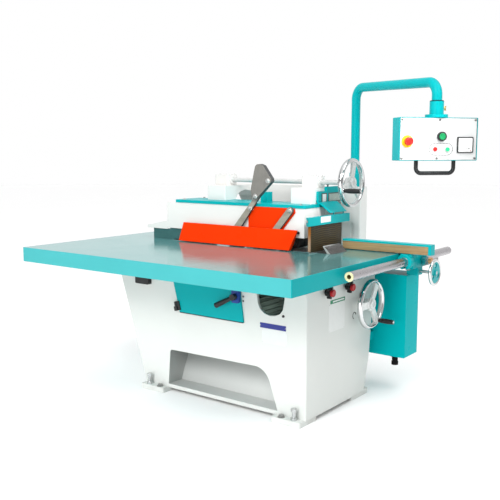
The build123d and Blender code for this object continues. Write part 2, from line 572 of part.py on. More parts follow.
AY, AZ = PIV_A + LINK_DY, PIV_Z + LINK_DZ
BY, BZ = PIV_B + LINK_DY, PIV_Z + LINK_DZ
lever = prism("x", [(950, 934), (845, 1057), (812, 1096), (801, 1112), (809, 1156), (787, 1257), (777, 1296), (764, 1306),
                    (744, 1308), (722, 1300), (664, 1225), (662, 1212), (668, 1203), (763, 1111), (918, 906)], 803, 817.5)
lever = lever + cyl("x", (AY, AZ), 21, 803, 817.5)
weight = prism("x", [(801, 1116), (809, 1156), (787, 1257), (777, 1296), (764, 1306), (744, 1308), (722, 1300),
                     (664, 1225), (662, 1212), (668, 1203), (752, 1122)], 786, 804)
weight = soft(weight, weight.edges().filter_by(Axis.X), 6)
lever = lever + weight
lever = lever - cyl("x", (PIV_A, PIV_Z), 7.05, 780, 830) - cyl("x", (AY, AZ), 6.05, 780, 830)
put("guard_lever", lever)

ln = sqrt(LINK_DY ** 2 + LINK_DZ ** 2)
wx, wz = -LINK_DZ / ln * 19, LINK_DY / ln * 19
link = prism("x", [(PIV_B + wx, PIV_Z + wz), (BY + wx, BZ + wz), (BY - wx, BZ - wz), (PIV_B - wx, PIV_Z - wz)], 803, 817.5)
link = link + cyl("x", (PIV_B, PIV_Z), 19, 803, 817.5) + cyl("x", (BY, BZ), 19, 803, 817.5)
link = link - cyl("x", (PIV_B, PIV_Z), 7.05, 790, 830) - cyl("x", (BY, BZ), 6.6, 790, 830)
put("guard_link", link)

GB, GT, GZ0, GZ1 = 769.0, 796.0, 826.0, 940.0
sl = sqrt((GT - GB) ** 2 + (GZ1 - GZ0) ** 2)
gpl = Plane(origin=(GB, 0, GZ0), x_dir=(0, 1, 0), z_dir=((GZ1 - GZ0) / sl, 0, -(GT - GB) / sl))
guard = extrude(gpl * make_face(Polyline((531, 0), (1361, 0), (1342, sl), (490, sl), close=True)), amount=3.0,
                dir=((GZ1 - GZ0) / sl, 0, -(GT - GB) / sl))
# folded returns along the two ends and the lower edge
ret = extrude(gpl * make_face(Polyline((531, 0), (535, 0), (494, sl), (490, sl), close=True)), amount=22.0,
              dir=((GZ1 - GZ0) / sl, 0, -(GT - GB) / sl)) & box(700, 801, 400, 1500, 826, 940)
ret2 = extrude(gpl * make_face(Polyline((1357, 0), (1361, 0), (1342, sl), (1338, sl), close=True)), amount=22.0,
               dir=((GZ1 - GZ0) / sl, 0, -(GT - GB) / sl)) & box(700, 801, 400, 1500, 826, 940)
hem = box(770, 790, 540, 1352, 826, 829)
guard = guard + ret + ret2 + hem
for gy, gz in ((AY, AZ), (BY, BZ)):
    guard = guard + (cyl("x", (gy, gz), 15, 780, 802.5) - (cyl("x", (gy, gz), 16, 700, 780)))
    guard = guard + cyl("x", (gy, gz), 6.0, 790, 820.5)
keep = prism("y", [(GB, GZ0 - 1), (GB, GZ0), (GT, GZ1), (GT, GZ1 + 1), (840, GZ1 + 1), (840, GZ0 - 1)], 400, 1500)
guard = guard & keep
put("safety_guard", guard)

# ----------------------------------------------------------------------------
# handwheels
# ----------------------------------------------------------------------------
def handwheel(c, r_out, rim_r, web_t, hub_r, hub_l, ang0, shaft_r, shaft_to, spoke=44.0, rim_y=16.0):
    """Three broad spokes in a round rim; axis along Y, front face towards -Y."""
    x, y, z = c
    rm = r_out - rim_r
    rpl = Plane(origin=(x + rm, y, z), x_dir=(1, 0, 0), z_dir=(0, 0, 1))
    w = revolve(rpl * Ellipse(rim_r, rim_y), axis=Axis((x, y, z), (0, 1, 0)), revolution_arc=360)
    web = cyl("y", (x, z), rm, y - web_t / 2, y + web_t / 2)
    wins = []
    r0, r1 = hub_r + 10, rm - 6
    for k in range(3):
        a = radians(ang0 + 120 * k)
        pts = []
        for rr, s in ((r1, 1), (r0, -1)):
            half = radians(60) - (spoke / 2) / rr * (1.0 if rr == r1 else 0.85)
            n = 12
            for i in range(n + 1):
                t = a - s * half + s * 2 * half * i / n
                pts.append((x + rr * cos(t), z + rr * sin(t)))
        wn = prism("y", pts, y - web_t, y + web_t)
        wn = soft(wn, wn.edges().filter_by(Axis.Y).group_by(lambda e: round(sqrt((e.center().X - x) ** 2 + (e.center().Z - z) ** 2), 0))[0], 2)
        wins.append(wn)
    web = web - wins
    w = w + web + cyl("y", (x, z), hub_r, y - hub_l * 0.35, y + hub_l * 0.65)
    return w + cyl("y", (x, z), shaft_r, y, shaft_to)


UX, UY, UZ, UR = UP_WHEEL
uw = handwheel((UX, UY, UZ), UR, 12, 12, 30, 46, 20, LIFT_R, 1262)
GUX, GUZ = UX - 110, UZ - 41
uw = uw + cyl("y", (GUX, GUZ), 17, UY - 20, UY + 5) + cyl("y", (GUX, GUZ), 6, UY - 118, UY)
put("upper_handwheel", uw)


def crank_grip(gx, gz, y0, y1):
    prof = [(6.05, y1), (10.5, y1), (13.5, y1 + (y0 - y1) * 0.25), (14.0, y1 + (y0 - y1) * 0.6), (12.0, y0), (6.05, y0)]
    pl = Plane(origin=(gx, 0, gz), x_dir=(1, 0, 0), z_dir=(0, 0, 1))
    f = pl * make_face(Polyline(*prof, close=True))
    return revolve(f, axis=Axis((gx, 0, gz), (0, 1, 0)), revolution_arc=360)


put("upper_crank_grip", crank_grip(GUX, GUZ, UY - 116, UY - 21))

LX, LY, LZ, LR = LOW_WHEEL
lw = handwheel((LX, LY, LZ), LR, 12, 12, 28, 44, 0, 14.0, 640)
GLX, GLZ = LX + 57, LZ - 99
lw = lw + cyl("y", (GLX, GLZ), 17, LY - 20, LY + 5) + cyl("y", (GLX, GLZ), 6, LY - 110, LY)
put("lower_handwheel", lw)
put("lower_crank_grip", crank_grip(GLX, GLZ, LY - 108, LY - 21))


# star-grip screws on the infeed face
def star_knob(kx, kz):
    s = cyl("y", (kx, kz), 18, 118, 140)
    for k in range(6):
        a = 2 * pi * k / 6 + 0.26
        s = s + cyl("y", (kx + 24 * cos(a), kz + 24 * sin(a)), 8, 118, 140)
    s = s + cyl("y", (kx, kz), 15, 140, 152) + cyl("y", (kx, kz), 6.0, 150, 215)
    cap = cyl("y", (kx, kz), 19.5, 104, 119)
    cap = chamf(cap, cap.edges().filter_by(GeomType.CIRCLE).sort_by(Axis.Y)[:1], 2.5)
    return s + cap


put("star_knob_left", star_knob(551, 664))
put("star_knob_right", star_knob(759, 664))

# ----------------------------------------------------------------------------
# fence rail with its rack, rail brackets
# ----------------------------------------------------------------------------
TP = pi * RACK_M
rail = cyl("x", (RAIL_Y, RAIL_Z), RAIL_R, RAIL_X0, RAIL_X1)
rail = rail - cyl("x", (RAIL_Y, RAIL_Z), 11, RAIL_X0 - 5, RAIL_X0 + 40) - cyl("x", (RAIL_Y, RAIL_Z), 11, RAIL_X1 - 40, RAIL_X1 + 5)
PITCH_R = RACK_M * PINION_N / 2
RACK_PITCH_Z = PIN_Z + PITCH_R
ADD, DED = 2.2, 3.0
rack = box(1080, 1500, RAIL_Y - 8, RAIL_Y + 8, RACK_PITCH_Z + DED, RAIL_Z - 20)
teeth = []
n0 = int((1085 - PIN_X) / TP)
n1 = int((1495 - PIN_X) / TP)
ta = tan(radians(20))
hw = TP / 4 - 0.2
for k in range(n0, n1 + 1):
    x = PIN_X + k * TP
    zt, zb = RACK_PITCH_Z - ADD, RACK_PITCH_Z + DED + 0.5
    teeth.append(prism("y", [(x - hw + ADD * ta, zt), (x + hw - ADD * ta, zt), (x + hw + (zb - RACK_PITCH_Z) * ta, zb),
                             (x - hw - (zb - RACK_PITCH_Z) * ta, zb)], RAIL_Y - 8, RAIL_Y + 8))
rack = rack + teeth

brk = []
for bx in (500.0, 1250.0, 1560.0):
    if bx < TABLE_W:
        b = cyl("y", (bx, RAIL_Z), 10, RAIL_Y, 0.0) - cyl("x", (RAIL_Y, RAIL_Z), RAIL_R, bx - 50, bx + 50)
        brk.append(b.solids().sort_by(Axis.Y)[-1])
put("fence_rail", rail + rack, *brk)

# ----------------------------------------------------------------------------
# fence: bracket clamped round the rail, teal beam with a wooden face,
# pinion handwheel, lock screw
# ----------------------------------------------------------------------------
fb = cyl("x", (RAIL_Y, RAIL_Z), 43, 1040, 1082)
fb = chamf(fb, fb.edges().filter_by(GeomType.CIRCLE).sort_by(Axis.X)[:1], 3)
blk = box(1078, 1222, RAIL_Y - 38, RAIL_Y + 36, 736, 818)
blk = soft(blk, blk.edges().filter_by(Axis.X), 10)
fb = fb + blk + box(1062, 1112, RAIL_Y - 34, RAIL_Y + 32, 800, 822) + box(1150, 1212, RAIL_Y - 34, RAIL_Y + 32, 694, 740)
fb = fb - cyl("x", (RAIL_Y, RAIL_Z), RAIL_R + 0.4, 1000, 1300)
fb = fb - box(1000, 1300, RAIL_Y + 5, RAIL_Y + 60, RAIL_Z - 14, RAIL_Z + 14)
fb = fb - box(1000, 1300, RAIL_Y - 12, RAIL_Y + 12, RACK_PITCH_Z - ADD - 1.5, RAIL_Z)
fb = fb - cyl("y", (PIN_X, PIN_Z), PITCH_R + ADD + 1.5, RAIL_Y - 14, RAIL_Y + 14)
fb = fb - cyl("y", (PIN_X, PIN_Z), 9.05, RAIL_Y - 60, RAIL_Y + 60)
fb = fb - cyl("y", (1200, RAIL_Z - 2), 7.05, RAIL_Y - 60, RAIL_Y - 27)
put("fence_bracket", fb)

fbody = box(1078, 1112, -190, 350, 822, 880) + box(FENCE_X, 1112, -190, 350, 869, 880) + box(FENCE_X, 1112, -190, -174, 824, 880)
fbody = soft(fbody, fbody.edges().filter_by(Axis.Y).sort_by(Axis.Z)[-2:], 3)
put("fence_beam", fbody)
put("fence_facing", box(FENCE_X - 2, 1078, -174, 348, 825, 869))

# pinion, shaft and handwheel of the fence feed
pin_pts = []
rb, ro, rp, rr = PITCH_R * cos(radians(20)), PITCH_R + ADD, PITCH_R, PITCH_R - DED
for k in range(PINION_N):
    c = pi / 2 + (k + 0.5) * 2 * pi / PINION_N
    for r, hwid in ((rr, TP / 4 + 0.3), (rp, TP / 4 - 0.6), (ro, TP / 4 - 1.45)):
        pin_pts.append((r, c + hwid / r))
    for r, hwid in ((ro, TP / 4 - 1.45), (rp, TP / 4 - 0.6), (rr, TP / 4 + 0.3)):
        pin_pts.append((r, c - hwid / r))
# order the outline by tooth, each tooth from its left flank to its right flank
out = []
for k in range(PINION_N):
    t6 = pin_pts[6 * k:6 * k + 6]
    out.extend([(PIN_X + r * cos(a), PIN_Z + r * sin(a)) for r, a in reversed(t6)])
pinion = prism("y", out, RAIL_Y - 9, RAIL_Y + 9)
FWY = -166.0
fw = cyl("y", (PIN_X, PIN_Z), 9.0, FWY, RAIL_Y + 30) + pinion
rimw = Pos(PIN_X, FWY, PIN_Z) * Rot(90, 0, 0) * Torus(66, 9)
disc = cyl("y", (PIN_X, PIN_Z), 66, FWY - 5, FWY + 5)
for k in range(3):
    a = radians(90 + 120 * k)
    disc = disc - cyl("y", (PIN_X + 38 * cos(a), PIN_Z + 38 * sin(a)), 15, FWY - 10, FWY + 10)
fw = fw + rimw + disc + cyl("y", (PIN_X, PIN_Z), 17, FWY - 12, FWY + 22)
put("fence_handwheel", fw)

LKX, LKZ = 1200.0, RAIL_Z - 2
lk = cyl("y", (LKX, LKZ), 7.0, -124, RAIL_Y - 27.5) + cyl("y", (LKX, LKZ), 20, -108, -86)
for k in range(5):
    a = 2 * pi * k / 5 + 0.3
    lk = lk + cyl("y", (LKX + 20 * cos(a), LKZ + 20 * sin(a)), 9.5, -108, -88)
collar = cyl("y", (LKX, LKZ), 18, -140, -121)
collar = chamf(collar, collar.edges().filter_by(GeomType.CIRCLE), 1.5)
lk = lk + collar
put("fence_lock_knob", lk)

# ----------------------------------------------------------------------------
# service cabinet on the right side, with hinged door and cable gland
# ----------------------------------------------------------------------------
cab = box(CAB_X0, CAB_X1 - 4, CAB_Y0, CAB_Y1, CAB_Z0, CAB_Z1)
cab = soft(cab, cab.edges().filter_by(Axis.X), 5)
cab = cab - box(CAB_X0 + 4, CAB_X1 + 5, CAB_Y0 + 4, CAB_Y1 - 4, CAB_Z0 + 4, CAB_Z1 - 4)
for z0, z1 in ((300, 345), (630, 675)):
    cab = cab + (box(1030, CAB_X0 + 2, 175, 342, z0, z1) - base_outer)
CH = (CAB_X1 + 4.0, CAB_Y1 + 6.0)
hp = cyl("z", CH, 2.5, 270, 650)
for z0, z1 in ((270, 299.5), (620.5, 650)):
    hp = hp + cyl("z", CH, 5.0, z0, z1) + box(CAB_X1 - 22, CH[0], CAB_Y1, CH[1], z0, z1)
cd = box(CAB_X1 - 3.6, CAB_X1, CAB_Y0, CAB_Y1 - 0.5, CAB_Z0, CAB_Z1)
cd = soft(cd, cd.edges().filter_by(Axis.X), 5)
for z0, z1 in ((300, 360), (560, 620)):
    cd = cd + cyl("z", CH, 5.0, z0, z1) + box(CAB_X1 - 3.6, CH[0], CAB_Y1 - 10, CH[1], z0, z1)
cd = cd - cyl("z", CH, 2.55, 290, 630)
cd = cd + box(CAB_X1 - 1, CAB_X1 + 12, CAB_Y0 + 18, CAB_Y0 + 34, 420, 500)
put("cabinet_door", cd)
GLAND = (1186, 62)
gl = hexbar(GLAND, 42, CAB_Z0 - 14, CAB_Z0) + cyl("z", GLAND, 17, CAB_Z0 - 46, CAB_Z0 - 12) \
    + cyl("z", GLAND, 19.5, CAB_Z0 - 60, CAB_Z0 - 40)
gl = gl - cyl("z", GLAND, 7, CAB_Z0 - 70, CAB_Z0 - 4)
put("cabinet_shell", cab, hp, gl)

# ----------------------------------------------------------------------------
# control pendant: swivelling bent pipe, control box with its buttons
# ----------------------------------------------------------------------------
bd = (-sin(radians(BOOM_AZ)), -cos(radians(BOOM_AZ)))
EX, EY = POST_X + BOOM_L * bd[0], POST_Y + BOOM_L * bd[1]
path = FilletPolyline((POST_X, POST_Y, WALL_TOP + 4), (POST_X, POST_Y, BOOM_Z0), (EX, EY, BOOM_Z1), (EX, EY, 1566), radius=68)
ppl = Plane(origin=(POST_X, POST_Y, WALL_TOP + 4), x_dir=(1, 0, 0), z_dir=(0, 0, 1))
pipe = sweep(ppl * (Circle(PIPE_R) - Circle(PIPE_R - 4)), path=path)
put("boom_pipe", pipe)


def at_box(s):
    """From the pendant's own frame (x right, -y front) into working coordinates."""
    return Pos(EX, EY, 0) * Rot(0, 0, -BOX_AZ) * s


hd = BOX_D / 2
bx = box(BOX_SHIFT - BOX_W / 2, BOX_SHIFT + BOX_W / 2, -hd, hd, BOX_Z0, BOX_Z1)
bx = soft(bx, bx.edges().filter_by(Axis.Y), 4)
bx = bx - box(BOX_SHIFT - BOX_W / 2 + 3, BOX_SHIFT + BOX_W / 2 - 3, -hd - 5, hd - 3, BOX_Z0 + 3, BOX_Z1 - 3)
bx = bx + cyl("z", (0, 0), 58, BOX_Z1 - 1, BOX_Z1 + 16) + cyl("z", (0, 0), 36, BOX_Z1 - 1, 1636)
bx = chamf(bx, bx.edges().filter_by(GeomType.CIRCLE).sort_by(Axis.Z)[-1:], 3)
bx = bx - cyl("z", (0, 0), PIPE_R + 0.05, 1565.5, 1650) - cyl("z", (0, 0), PIPE_R - 5, BOX_Z1 - 10, 1600)
CLAMP_Z = 1597.0
bx = bx - cyl("x", (0, CLAMP_Z), 5.05, 20, 60)
put("control_box", at_box(bx))

# wing screw that clamps the box on the pipe
ws = cyl("x", (0, CLAMP_Z), 5.0, 27, 46) + cyl("x", (0, CLAMP_Z), 7.5, 37, 43)
ws = ws + prism("y", [(40, CLAMP_Z - 4), (46, CLAMP_Z - 12), (53, CLAMP_Z - 11), (50, CLAMP_Z - 3), (50, CLAMP_Z + 3),
                      (53, CLAMP_Z + 11), (46, CLAMP_Z + 12), (40, CLAMP_Z + 4)], -2.2, 2.2)
put("clamp_screw", at_box(ws))

E_STOP, START, STOP, FEED, METER = (-178, 1428), (7, 1453), (-27, 1389), (41, 1388), (139, 1411)
pn = box(BOX_SHIFT - BOX_W / 2 + 4, BOX_SHIFT + BOX_W / 2 - 8, -hd - 3, -hd, BOX_Z0 + 4, BOX_Z1 - 4)
for (u, w), r in ((E_STOP, 11.2), (START, 11.2), (STOP, 8.2), (FEED, 8.2)):
    pn = pn - cyl("y", (u, w), r, -hd - 10, -hd + 10)

mt = box(METER[0] - 44, METER[0] + 44, -hd - 10, -hd - 3, METER[1] - 40, METER[1] + 40)
mt = soft(mt, mt.edges().filter_by(Axis.Y), 3)


# bezels sit on the panel, buttons slide in them
def bezel(c, r_out, r_in, h):
    return cyl("y", c, r_out, -hd - 3 - h, -hd - 3) - cyl("y", c, r_in, -hd - 30, -hd + 5)


put("control_panel", at_box(pn), at_box(mt), at_box(bezel(START, 24, 17.2, 14)), at_box(bezel(STOP, 14, 10.7, 5)),
    at_box(bezel(FEED, 14, 10.7, 5)), at_box(bezel(E_STOP, 31, 14.2, 3)))


def button(c, r, stem, front):
    return cyl("y", c, r, -hd - front, -hd - 3 - 1.0) + cyl("y", c, stem, -hd - 6, -hd + 30)


es = cyl("y", E_STOP, 21, -hd - 36, -hd - 17) + cyl("y", E_STOP, 14, -hd - 20, -hd - 10) + cyl("y", E_STOP, 11, -hd - 12, -hd + 30)
es = soft(es, es.edges().filter_by(GeomType.CIRCLE).sort_by(Axis.Y)[:1], 6)
put("stop_mushroom", at_box(es))
sb = cyl("y", START, 17, -hd - 21, -hd - 9) + cyl("y", START, 11, -hd - 10, -hd + 30)
sb = soft(sb, sb.edges().filter_by(GeomType.CIRCLE).sort_by(Axis.Y)[:1], 2)
put("start_button", at_box(sb))
for nm, c in (("stop_button", STOP), ("feed_button", FEED)):
    b = cyl("y", c, 10.5, -hd - 13, -hd - 7.5) + cyl("y", c, 8, -hd - 8, -hd + 30)
    b = soft(b, b.edges().filter_by(GeomType.CIRCLE).sort_by(Axis.Y)[:1], 1.5)
    put(nm, at_box(b))

# handle under the box
hpth = FilletPolyline((-101, 10, BOX_Z0), (-101, 10, BOX_Z0 - 65), (109, 10, BOX_Z0 - 65), (109, 10, BOX_Z0), radius=28)
hpl = Plane(origin=(-101, 10, BOX_Z0), x_dir=(1, 0, 0), z_dir=(0, 0, -1))
put("pendant_handle", at_box(sweep(hpl * Circle(10.5), path=hpth)))

# ----------------------------------------------------------------------------
# write one file for each piece
# ----------------------------------------------------------------------------
print(len(PARTS), "pieces")
for name, solids in PARTS.items():
    shape = solids[0] if len(solids) == 1 else Compound(children=solids)
    export_step(shape, "parts/%s.step" % name)
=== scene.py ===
import math
import bmesh
import bpy
from mathutils import Matrix, Vector


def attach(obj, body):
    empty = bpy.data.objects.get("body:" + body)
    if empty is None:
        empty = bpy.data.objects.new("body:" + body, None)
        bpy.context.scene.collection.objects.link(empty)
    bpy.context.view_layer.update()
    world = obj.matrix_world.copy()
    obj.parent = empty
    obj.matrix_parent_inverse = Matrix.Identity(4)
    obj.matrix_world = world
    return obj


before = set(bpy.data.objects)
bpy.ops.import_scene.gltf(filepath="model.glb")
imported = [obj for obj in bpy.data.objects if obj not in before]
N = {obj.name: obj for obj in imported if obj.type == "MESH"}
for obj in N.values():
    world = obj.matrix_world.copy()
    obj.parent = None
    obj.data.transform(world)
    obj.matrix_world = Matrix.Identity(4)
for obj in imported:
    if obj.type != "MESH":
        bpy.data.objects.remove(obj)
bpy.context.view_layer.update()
scene = bpy.context.scene

# working coordinates of the part's source (mm) -> shared frame (m)
OX, OY = 691.0, 715.0


def W(x, y, z):
    return Vector(((x - OX) / 1000.0, (y - OY) / 1000.0, z / 1000.0))


def wx(v):
    return (v - OX) / 1000.0


def wy(v):
    return (v - OY) / 1000.0


def wz(v):
    return v / 1000.0


AX = {"x": (0, wx), "y": (1, wy), "z": (2, wz)}


# ----------------------------------------------------------------------------
# materials
# ----------------------------------------------------------------------------
class Look:
    """One procedural material: colour, roughness and metal are layered by masks."""

    def __init__(self, name, color, rough, metal=0.0):
        self.mat = bpy.data.materials.new(name)
        self.mat.use_nodes = True
        self.nt = self.mat.node_tree
        self.nt.nodes.clear()
        self.out = self.add("ShaderNodeOutputMaterial")
        self.bsdf = self.add("ShaderNodeBsdfPrincipled")
        self.link(self.bsdf.outputs[0], self.out.inputs[0])
        self.tc = self.add("ShaderNodeTexCoord")
        self.c, self.r, self.m = color, rough, metal
        self._xyz = self._nrm = self._bev = None
        self.heights = []
        self.spec = None

    def add(self, kind, **props):
        n = self.nt.nodes.new(kind)
        for k, v in props.items():
            setattr(n, k, v)
        return n

    def link(self, a, b):
        self.nt.links.new(a, b)

    def put(self, sock, value):
        if isinstance(value, bpy.types.NodeSocket):
            self.link(value, sock)
        elif isinstance(value, (tuple, list)) and len(value) == 3 and len(sock.default_value) == 4:
            sock.default_value = (*value, 1.0)
        else:
            sock.default_value = value

    def math(self, op, a, b=None, clamp=False):
        n = self.add("ShaderNodeMath", operation=op, use_clamp=clamp)
        self.put(n.inputs[0], a)
        if b is not None:
            self.put(n.inputs[1], b)
        return n.outputs[0]

    def xyz(self, axis):
        if self._xyz is None:
            n = self.add("ShaderNodeSeparateXYZ")
            self.link(self.tc.outputs["Object"], n.inputs[0])
            self._xyz = n.outputs
        return self._xyz[AX[axis][0]]

    def nrm(self, axis):
        if self._nrm is None:
            n = self.add("ShaderNodeSeparateXYZ")
            self.link(self.tc.outputs["Normal"], n.inputs[0])
            self._nrm = n.outputs
        return self._nrm[AX[axis][0]]

    def remap(self, v, a, b, lo=0.0, hi=1.0, smooth=False):
        n = self.add("ShaderNodeMapRange", clamp=True, interpolation_type="SMOOTHSTEP" if smooth else "LINEAR")
        self.put(n.inputs["Value"], v)
        n.inputs["From Min"].default_value = a
        n.inputs["From Max"].default_value = b
        n.inputs["To Min"].default_value = lo
        n.inputs["To Max"].default_value = hi
        return n.outputs["Result"]

    def above(self, axis, mm, soft=0.4):
        v = AX[axis][1](mm)
        return self.remap(self.xyz(axis), v - soft / 1000.0, v + soft / 1000.0)

    def below(self, axis, mm, soft=0.4):
        v = AX[axis][1](mm)
        return self.remap(self.xyz(axis), v - soft / 1000.0, v + soft / 1000.0, 1.0, 0.0)

    def all(self, *masks):
        out = masks[0]
        for k in masks[1:]:
            out = self.math("MULTIPLY", out, k)
        return out

    def any(self, *masks):
        out = masks[0]
        for k in masks[1:]:
            out = self.math("MAXIMUM", out, k)
        return out

    def no(self, mask):
        return self.math("SUBTRACT", 1.0, mask)

    def band(self, axis, a, b, soft=0.4):
        return self.all(self.above(axis, a, soft), self.below(axis, b, soft))

    def facing(self, axis, sign=1, tight=0.8):
        v = self.nrm(axis)
        if sign == 0:
            v = self.math("ABSOLUTE", v)
        elif sign < 0:
            v = self.math("MULTIPLY", v, -1.0)
        return self.remap(v, tight - 0.08, tight + 0.08)

    def near(self, p, r, soft=0.3, axis=None):
        """1 within r mm of a point, or of a line through it along a direction."""
        s = self.add("ShaderNodeVectorMath", operation="SUBTRACT")
        self.link(self.tc.outputs["Object"], s.inputs[0])
        s.inputs[1].default_value = p
        v = s.outputs[0]
        if axis is not None:
            d = self.add("ShaderNodeVectorMath", operation="PROJECT")
            self.link(v, d.inputs[0])
            d.inputs[1].default_value = axis
            e = self.add("ShaderNodeVectorMath", operation="SUBTRACT")
            self.link(v, e.inputs[0])
            self.link(d.outputs[0], e.inputs[1])
            v = e.outputs[0]
        ln = self.add("ShaderNodeVectorMath", operation="LENGTH")
        self.link(v, ln.inputs[0])
        return self.remap(ln.outputs["Value"], (r - soft) / 1000.0, (r + soft) / 1000.0, 1.0, 0.0)

    def ahead(self, p, axis, mm, soft=0.15):
        """1 where the surface is more than mm in front of a point along a direction."""
        s = self.add("ShaderNodeVectorMath", operation="SUBTRACT")
        self.link(self.tc.outputs["Object"], s.inputs[0])
        s.inputs[1].default_value = p
        d = self.add("ShaderNodeVectorMath", operation="DOT_PRODUCT")
        self.link(s.outputs[0], d.inputs[0])
        d.inputs[1].default_value = axis
        return self.remap(d.outputs["Value"], (mm - soft) / 1000.0, (mm + soft) / 1000.0)

    def mapped(self, stretch=None, turn=None):
        v = self.tc.outputs["Object"]
        if stretch or turn:
            m = self.add("ShaderNodeMapping")
            self.link(v, m.inputs["Vector"])
            if stretch:
                m.inputs["Scale"].default_value = stretch
            if turn:
                m.inputs["Rotation"].default_value = turn
            v = m.outputs[0]
        return v

    def noise(self, scale, detail=3.0, rough=0.55, stretch=None, turn=None, distort=0.0):
        n = self.add("ShaderNodeTexNoise")
        self.link(self.mapped(stretch, turn), n.inputs["Vector"])
        n.inputs["Scale"].default_value = scale
        n.inputs["Detail"].default_value = detail
        n.inputs["Roughness"].default_value = rough
        n.inputs["Distortion"].default_value = distort
        return n.outputs[0]

    def mix(self, fac, a, b):
        n = self.add("ShaderNodeMix", data_type="RGBA")
        self.put(n.inputs[0], fac)
        self.put(n.inputs[6], a)
        self.put(n.inputs[7], b)
        return n.outputs[2]

    def lerp(self, fac, a, b):
        n = self.add("ShaderNodeMix", data_type="FLOAT")
        self.put(n.inputs[0], fac)
        self.put(n.inputs[2], a)
        self.put(n.inputs[3], b)
        return n.outputs[0]

    def bevel(self, radius):
        if self._bev is None:
            self._bev = self.add("ShaderNodeBevel", samples=6)
            self._bev.inputs["Radius"].default_value = radius
        return self._bev.outputs[0]

    def edges(self, radius, lo=0.03, hi=0.22):
        """1 along outer and inner edges."""
        g = self.add("ShaderNodeNewGeometry")
        d = self.add("ShaderNodeVectorMath", operation="DOT_PRODUCT")
        self.link(self.bevel(radius), d.inputs[0])
        self.link(g.outputs["Normal"], d.inputs[1])
        return self.remap(self.math("SUBTRACT", 1.0, d.outputs["Value"]), lo, hi)

    def over(self, mask, color=None, rough=None, metal=None):
        if color is not None:
            self.c = self.mix(mask, self.c, color)
        if rough is not None:
            self.r = self.lerp(mask, self.r, rough)
        if metal is not None and not (isinstance(self.m, float) and isinstance(metal, float) and self.m == metal):
            self.m = self.lerp(mask, self.m, metal)
        return self

    def height(self, h, strength, dist):
        self.heights.append((h, strength, dist))
        return self

    def done(self, bevel=0.0, spec=0.35, coat=0.0, coat_rough=0.05):
        b = self.bsdf.inputs
        self.put(b["Base Color"], self.c)
        self.put(b["Roughness"], self.r)
        self.put(b["Metallic"], self.m)
        b["Specular IOR Level"].default_value = self.spec if self.spec is not None else spec
        if coat:
            b["Coat Weight"].default_value = coat
            b["Coat Roughness"].default_value = coat_rough
        n = self.bevel(bevel) if bevel else None
        for h, s, d in self.heights:
            k = self.add("ShaderNodeBump")
            k.inputs["Strength"].default_value = s
            k.inputs["Distance"].default_value = d
            self.link(h, k.inputs["Height"])
            if n is not None:
                self.link(n, k.inputs["Normal"])
            n = k.outputs[0]
        if n is not None:
            self.link(n, b["Normal"])
        return self.mat


def tone(c, k):
    return tuple(max(0.0, min(1.0, v * k)) for v in c)


def varied(L, c, amount=0.04, scale=3.0, detail=4.0):
    """A colour that drifts a little lighter and darker over the surface."""
    f = L.remap(L.noise(scale, detail), 0.3, 0.7)
    return L.mix(f, tone(c, 1.0 - amount), tone(c, 1.0 + amount))


WHITE = (0.675, 0.695, 0.67)
TEAL = (0.0, 0.36, 0.38)
RED = (0.77, 0.035, 0.0015)
BLACK = (0.013, 0.013, 0.014)


def painted(name, c, rough=0.34, amount=0.035, peel=0.10, lumps=0.0, wear=0.35, wear_c=None, spec=None):
    """Sprayed enamel: drifting tone, orange-peel skin, thin worn edges."""
    L = Look(name, c, rough)
    L.c = varied(L, c, amount, 2.6)
    L.r = L.remap(L.noise(7.0, 5.0, 0.6), 0.3, 0.7, rough - 0.05, rough + 0.07)
    if wear:
        chips = L.math("MULTIPLY", L.edges(0.0018), L.remap(L.noise(38.0, 5.0, 0.65), 0.50, 0.66))
        L.over(L.math("MULTIPLY", chips, wear), wear_c or tone(c, 0.55), rough + 0.12)
    L.spec = spec if spec is not None else (0.18 if min(c) > 0.3 else 0.09 if c == TEAL else 0.03)
    L.height(L.noise(330.0, 2.0, 0.5), peel, 0.0005)
    if lumps:
        L.height(L.noise(26.0, 4.0, 0.5), lumps, 0.003)
    return L


def give(mat, *names):
    for n in names:
        o = N[n]
        o.data.materials.clear()
        o.data.materials.append(mat)


def steel_look(name, c=(0.56, 0.57, 0.57), rough=0.26, grain="x", metal=1.0, amount=0.10):
    """Machined steel with fine marks along or round the piece."""
    st = {"x": (5, 420, 420), "y": (420, 5, 420), "z": (420, 420, 5)}[grain]
    L = Look(name, c, rough, metal)
    marks = L.noise(1.0, 3.0, 0.6, stretch=st)
    L.c = L.mix(L.remap(marks, 0.3, 0.7), tone(c, 1 - amount), tone(c, 1 + amount))
    L.r = L.remap(L.noise(22.0, 4.0), 0.3, 0.7, rough - 0.06, rough + 0.09)
    L.height(marks, 0.05, 0.0004)
    return L


# --- base casting ------------------------------------------------------------
L = painted("white_cast", WHITE, 0.36, 0.02, 0.10, 0.10)
# inside walls of the hollow casting: darker grey primer that also serves as painted shade inside the base
inner = L.all(L.above("x", 388), L.above("y", 170), L.above("z", 292),
              L.remap(L.math("SUBTRACT", L.xyz("y"), L.math("MULTIPLY", L.xyz("z"), 0.3187)), wy(1253), wy(1255), 1.0, 0.0),
              L.remap(L.math("SUBTRACT", L.xyz("x"), L.math("MULTIPLY", L.xyz("z"), 0.1657)), wx(975), wx(977), 1.0, 0.0))
L.over(inner, L.mix(L.noise(9.0, 5.0), (0.36, 0.365, 0.345), (0.48, 0.485, 0.46)), 0.7)
# recess in the base: painted shade, darker than the white paint and darkest towards the top and the far (+Y) end
recess = L.all(L.band("x", 380.5, 572, 1.5), L.below("z", 264), L.band("y", 300, 1130), L.above("z", 41))
shade = L.math("ADD", L.remap(L.xyz("z"), wz(90), wz(262), 0.0, 0.62), L.remap(L.xyz("y"), wy(560), wy(1090), 0.0, 0.50), True)
recess_shade_tone = L.mix(L.noise(8.0, 5.0), (0.56, 0.58, 0.565), (0.61, 0.63, 0.615))
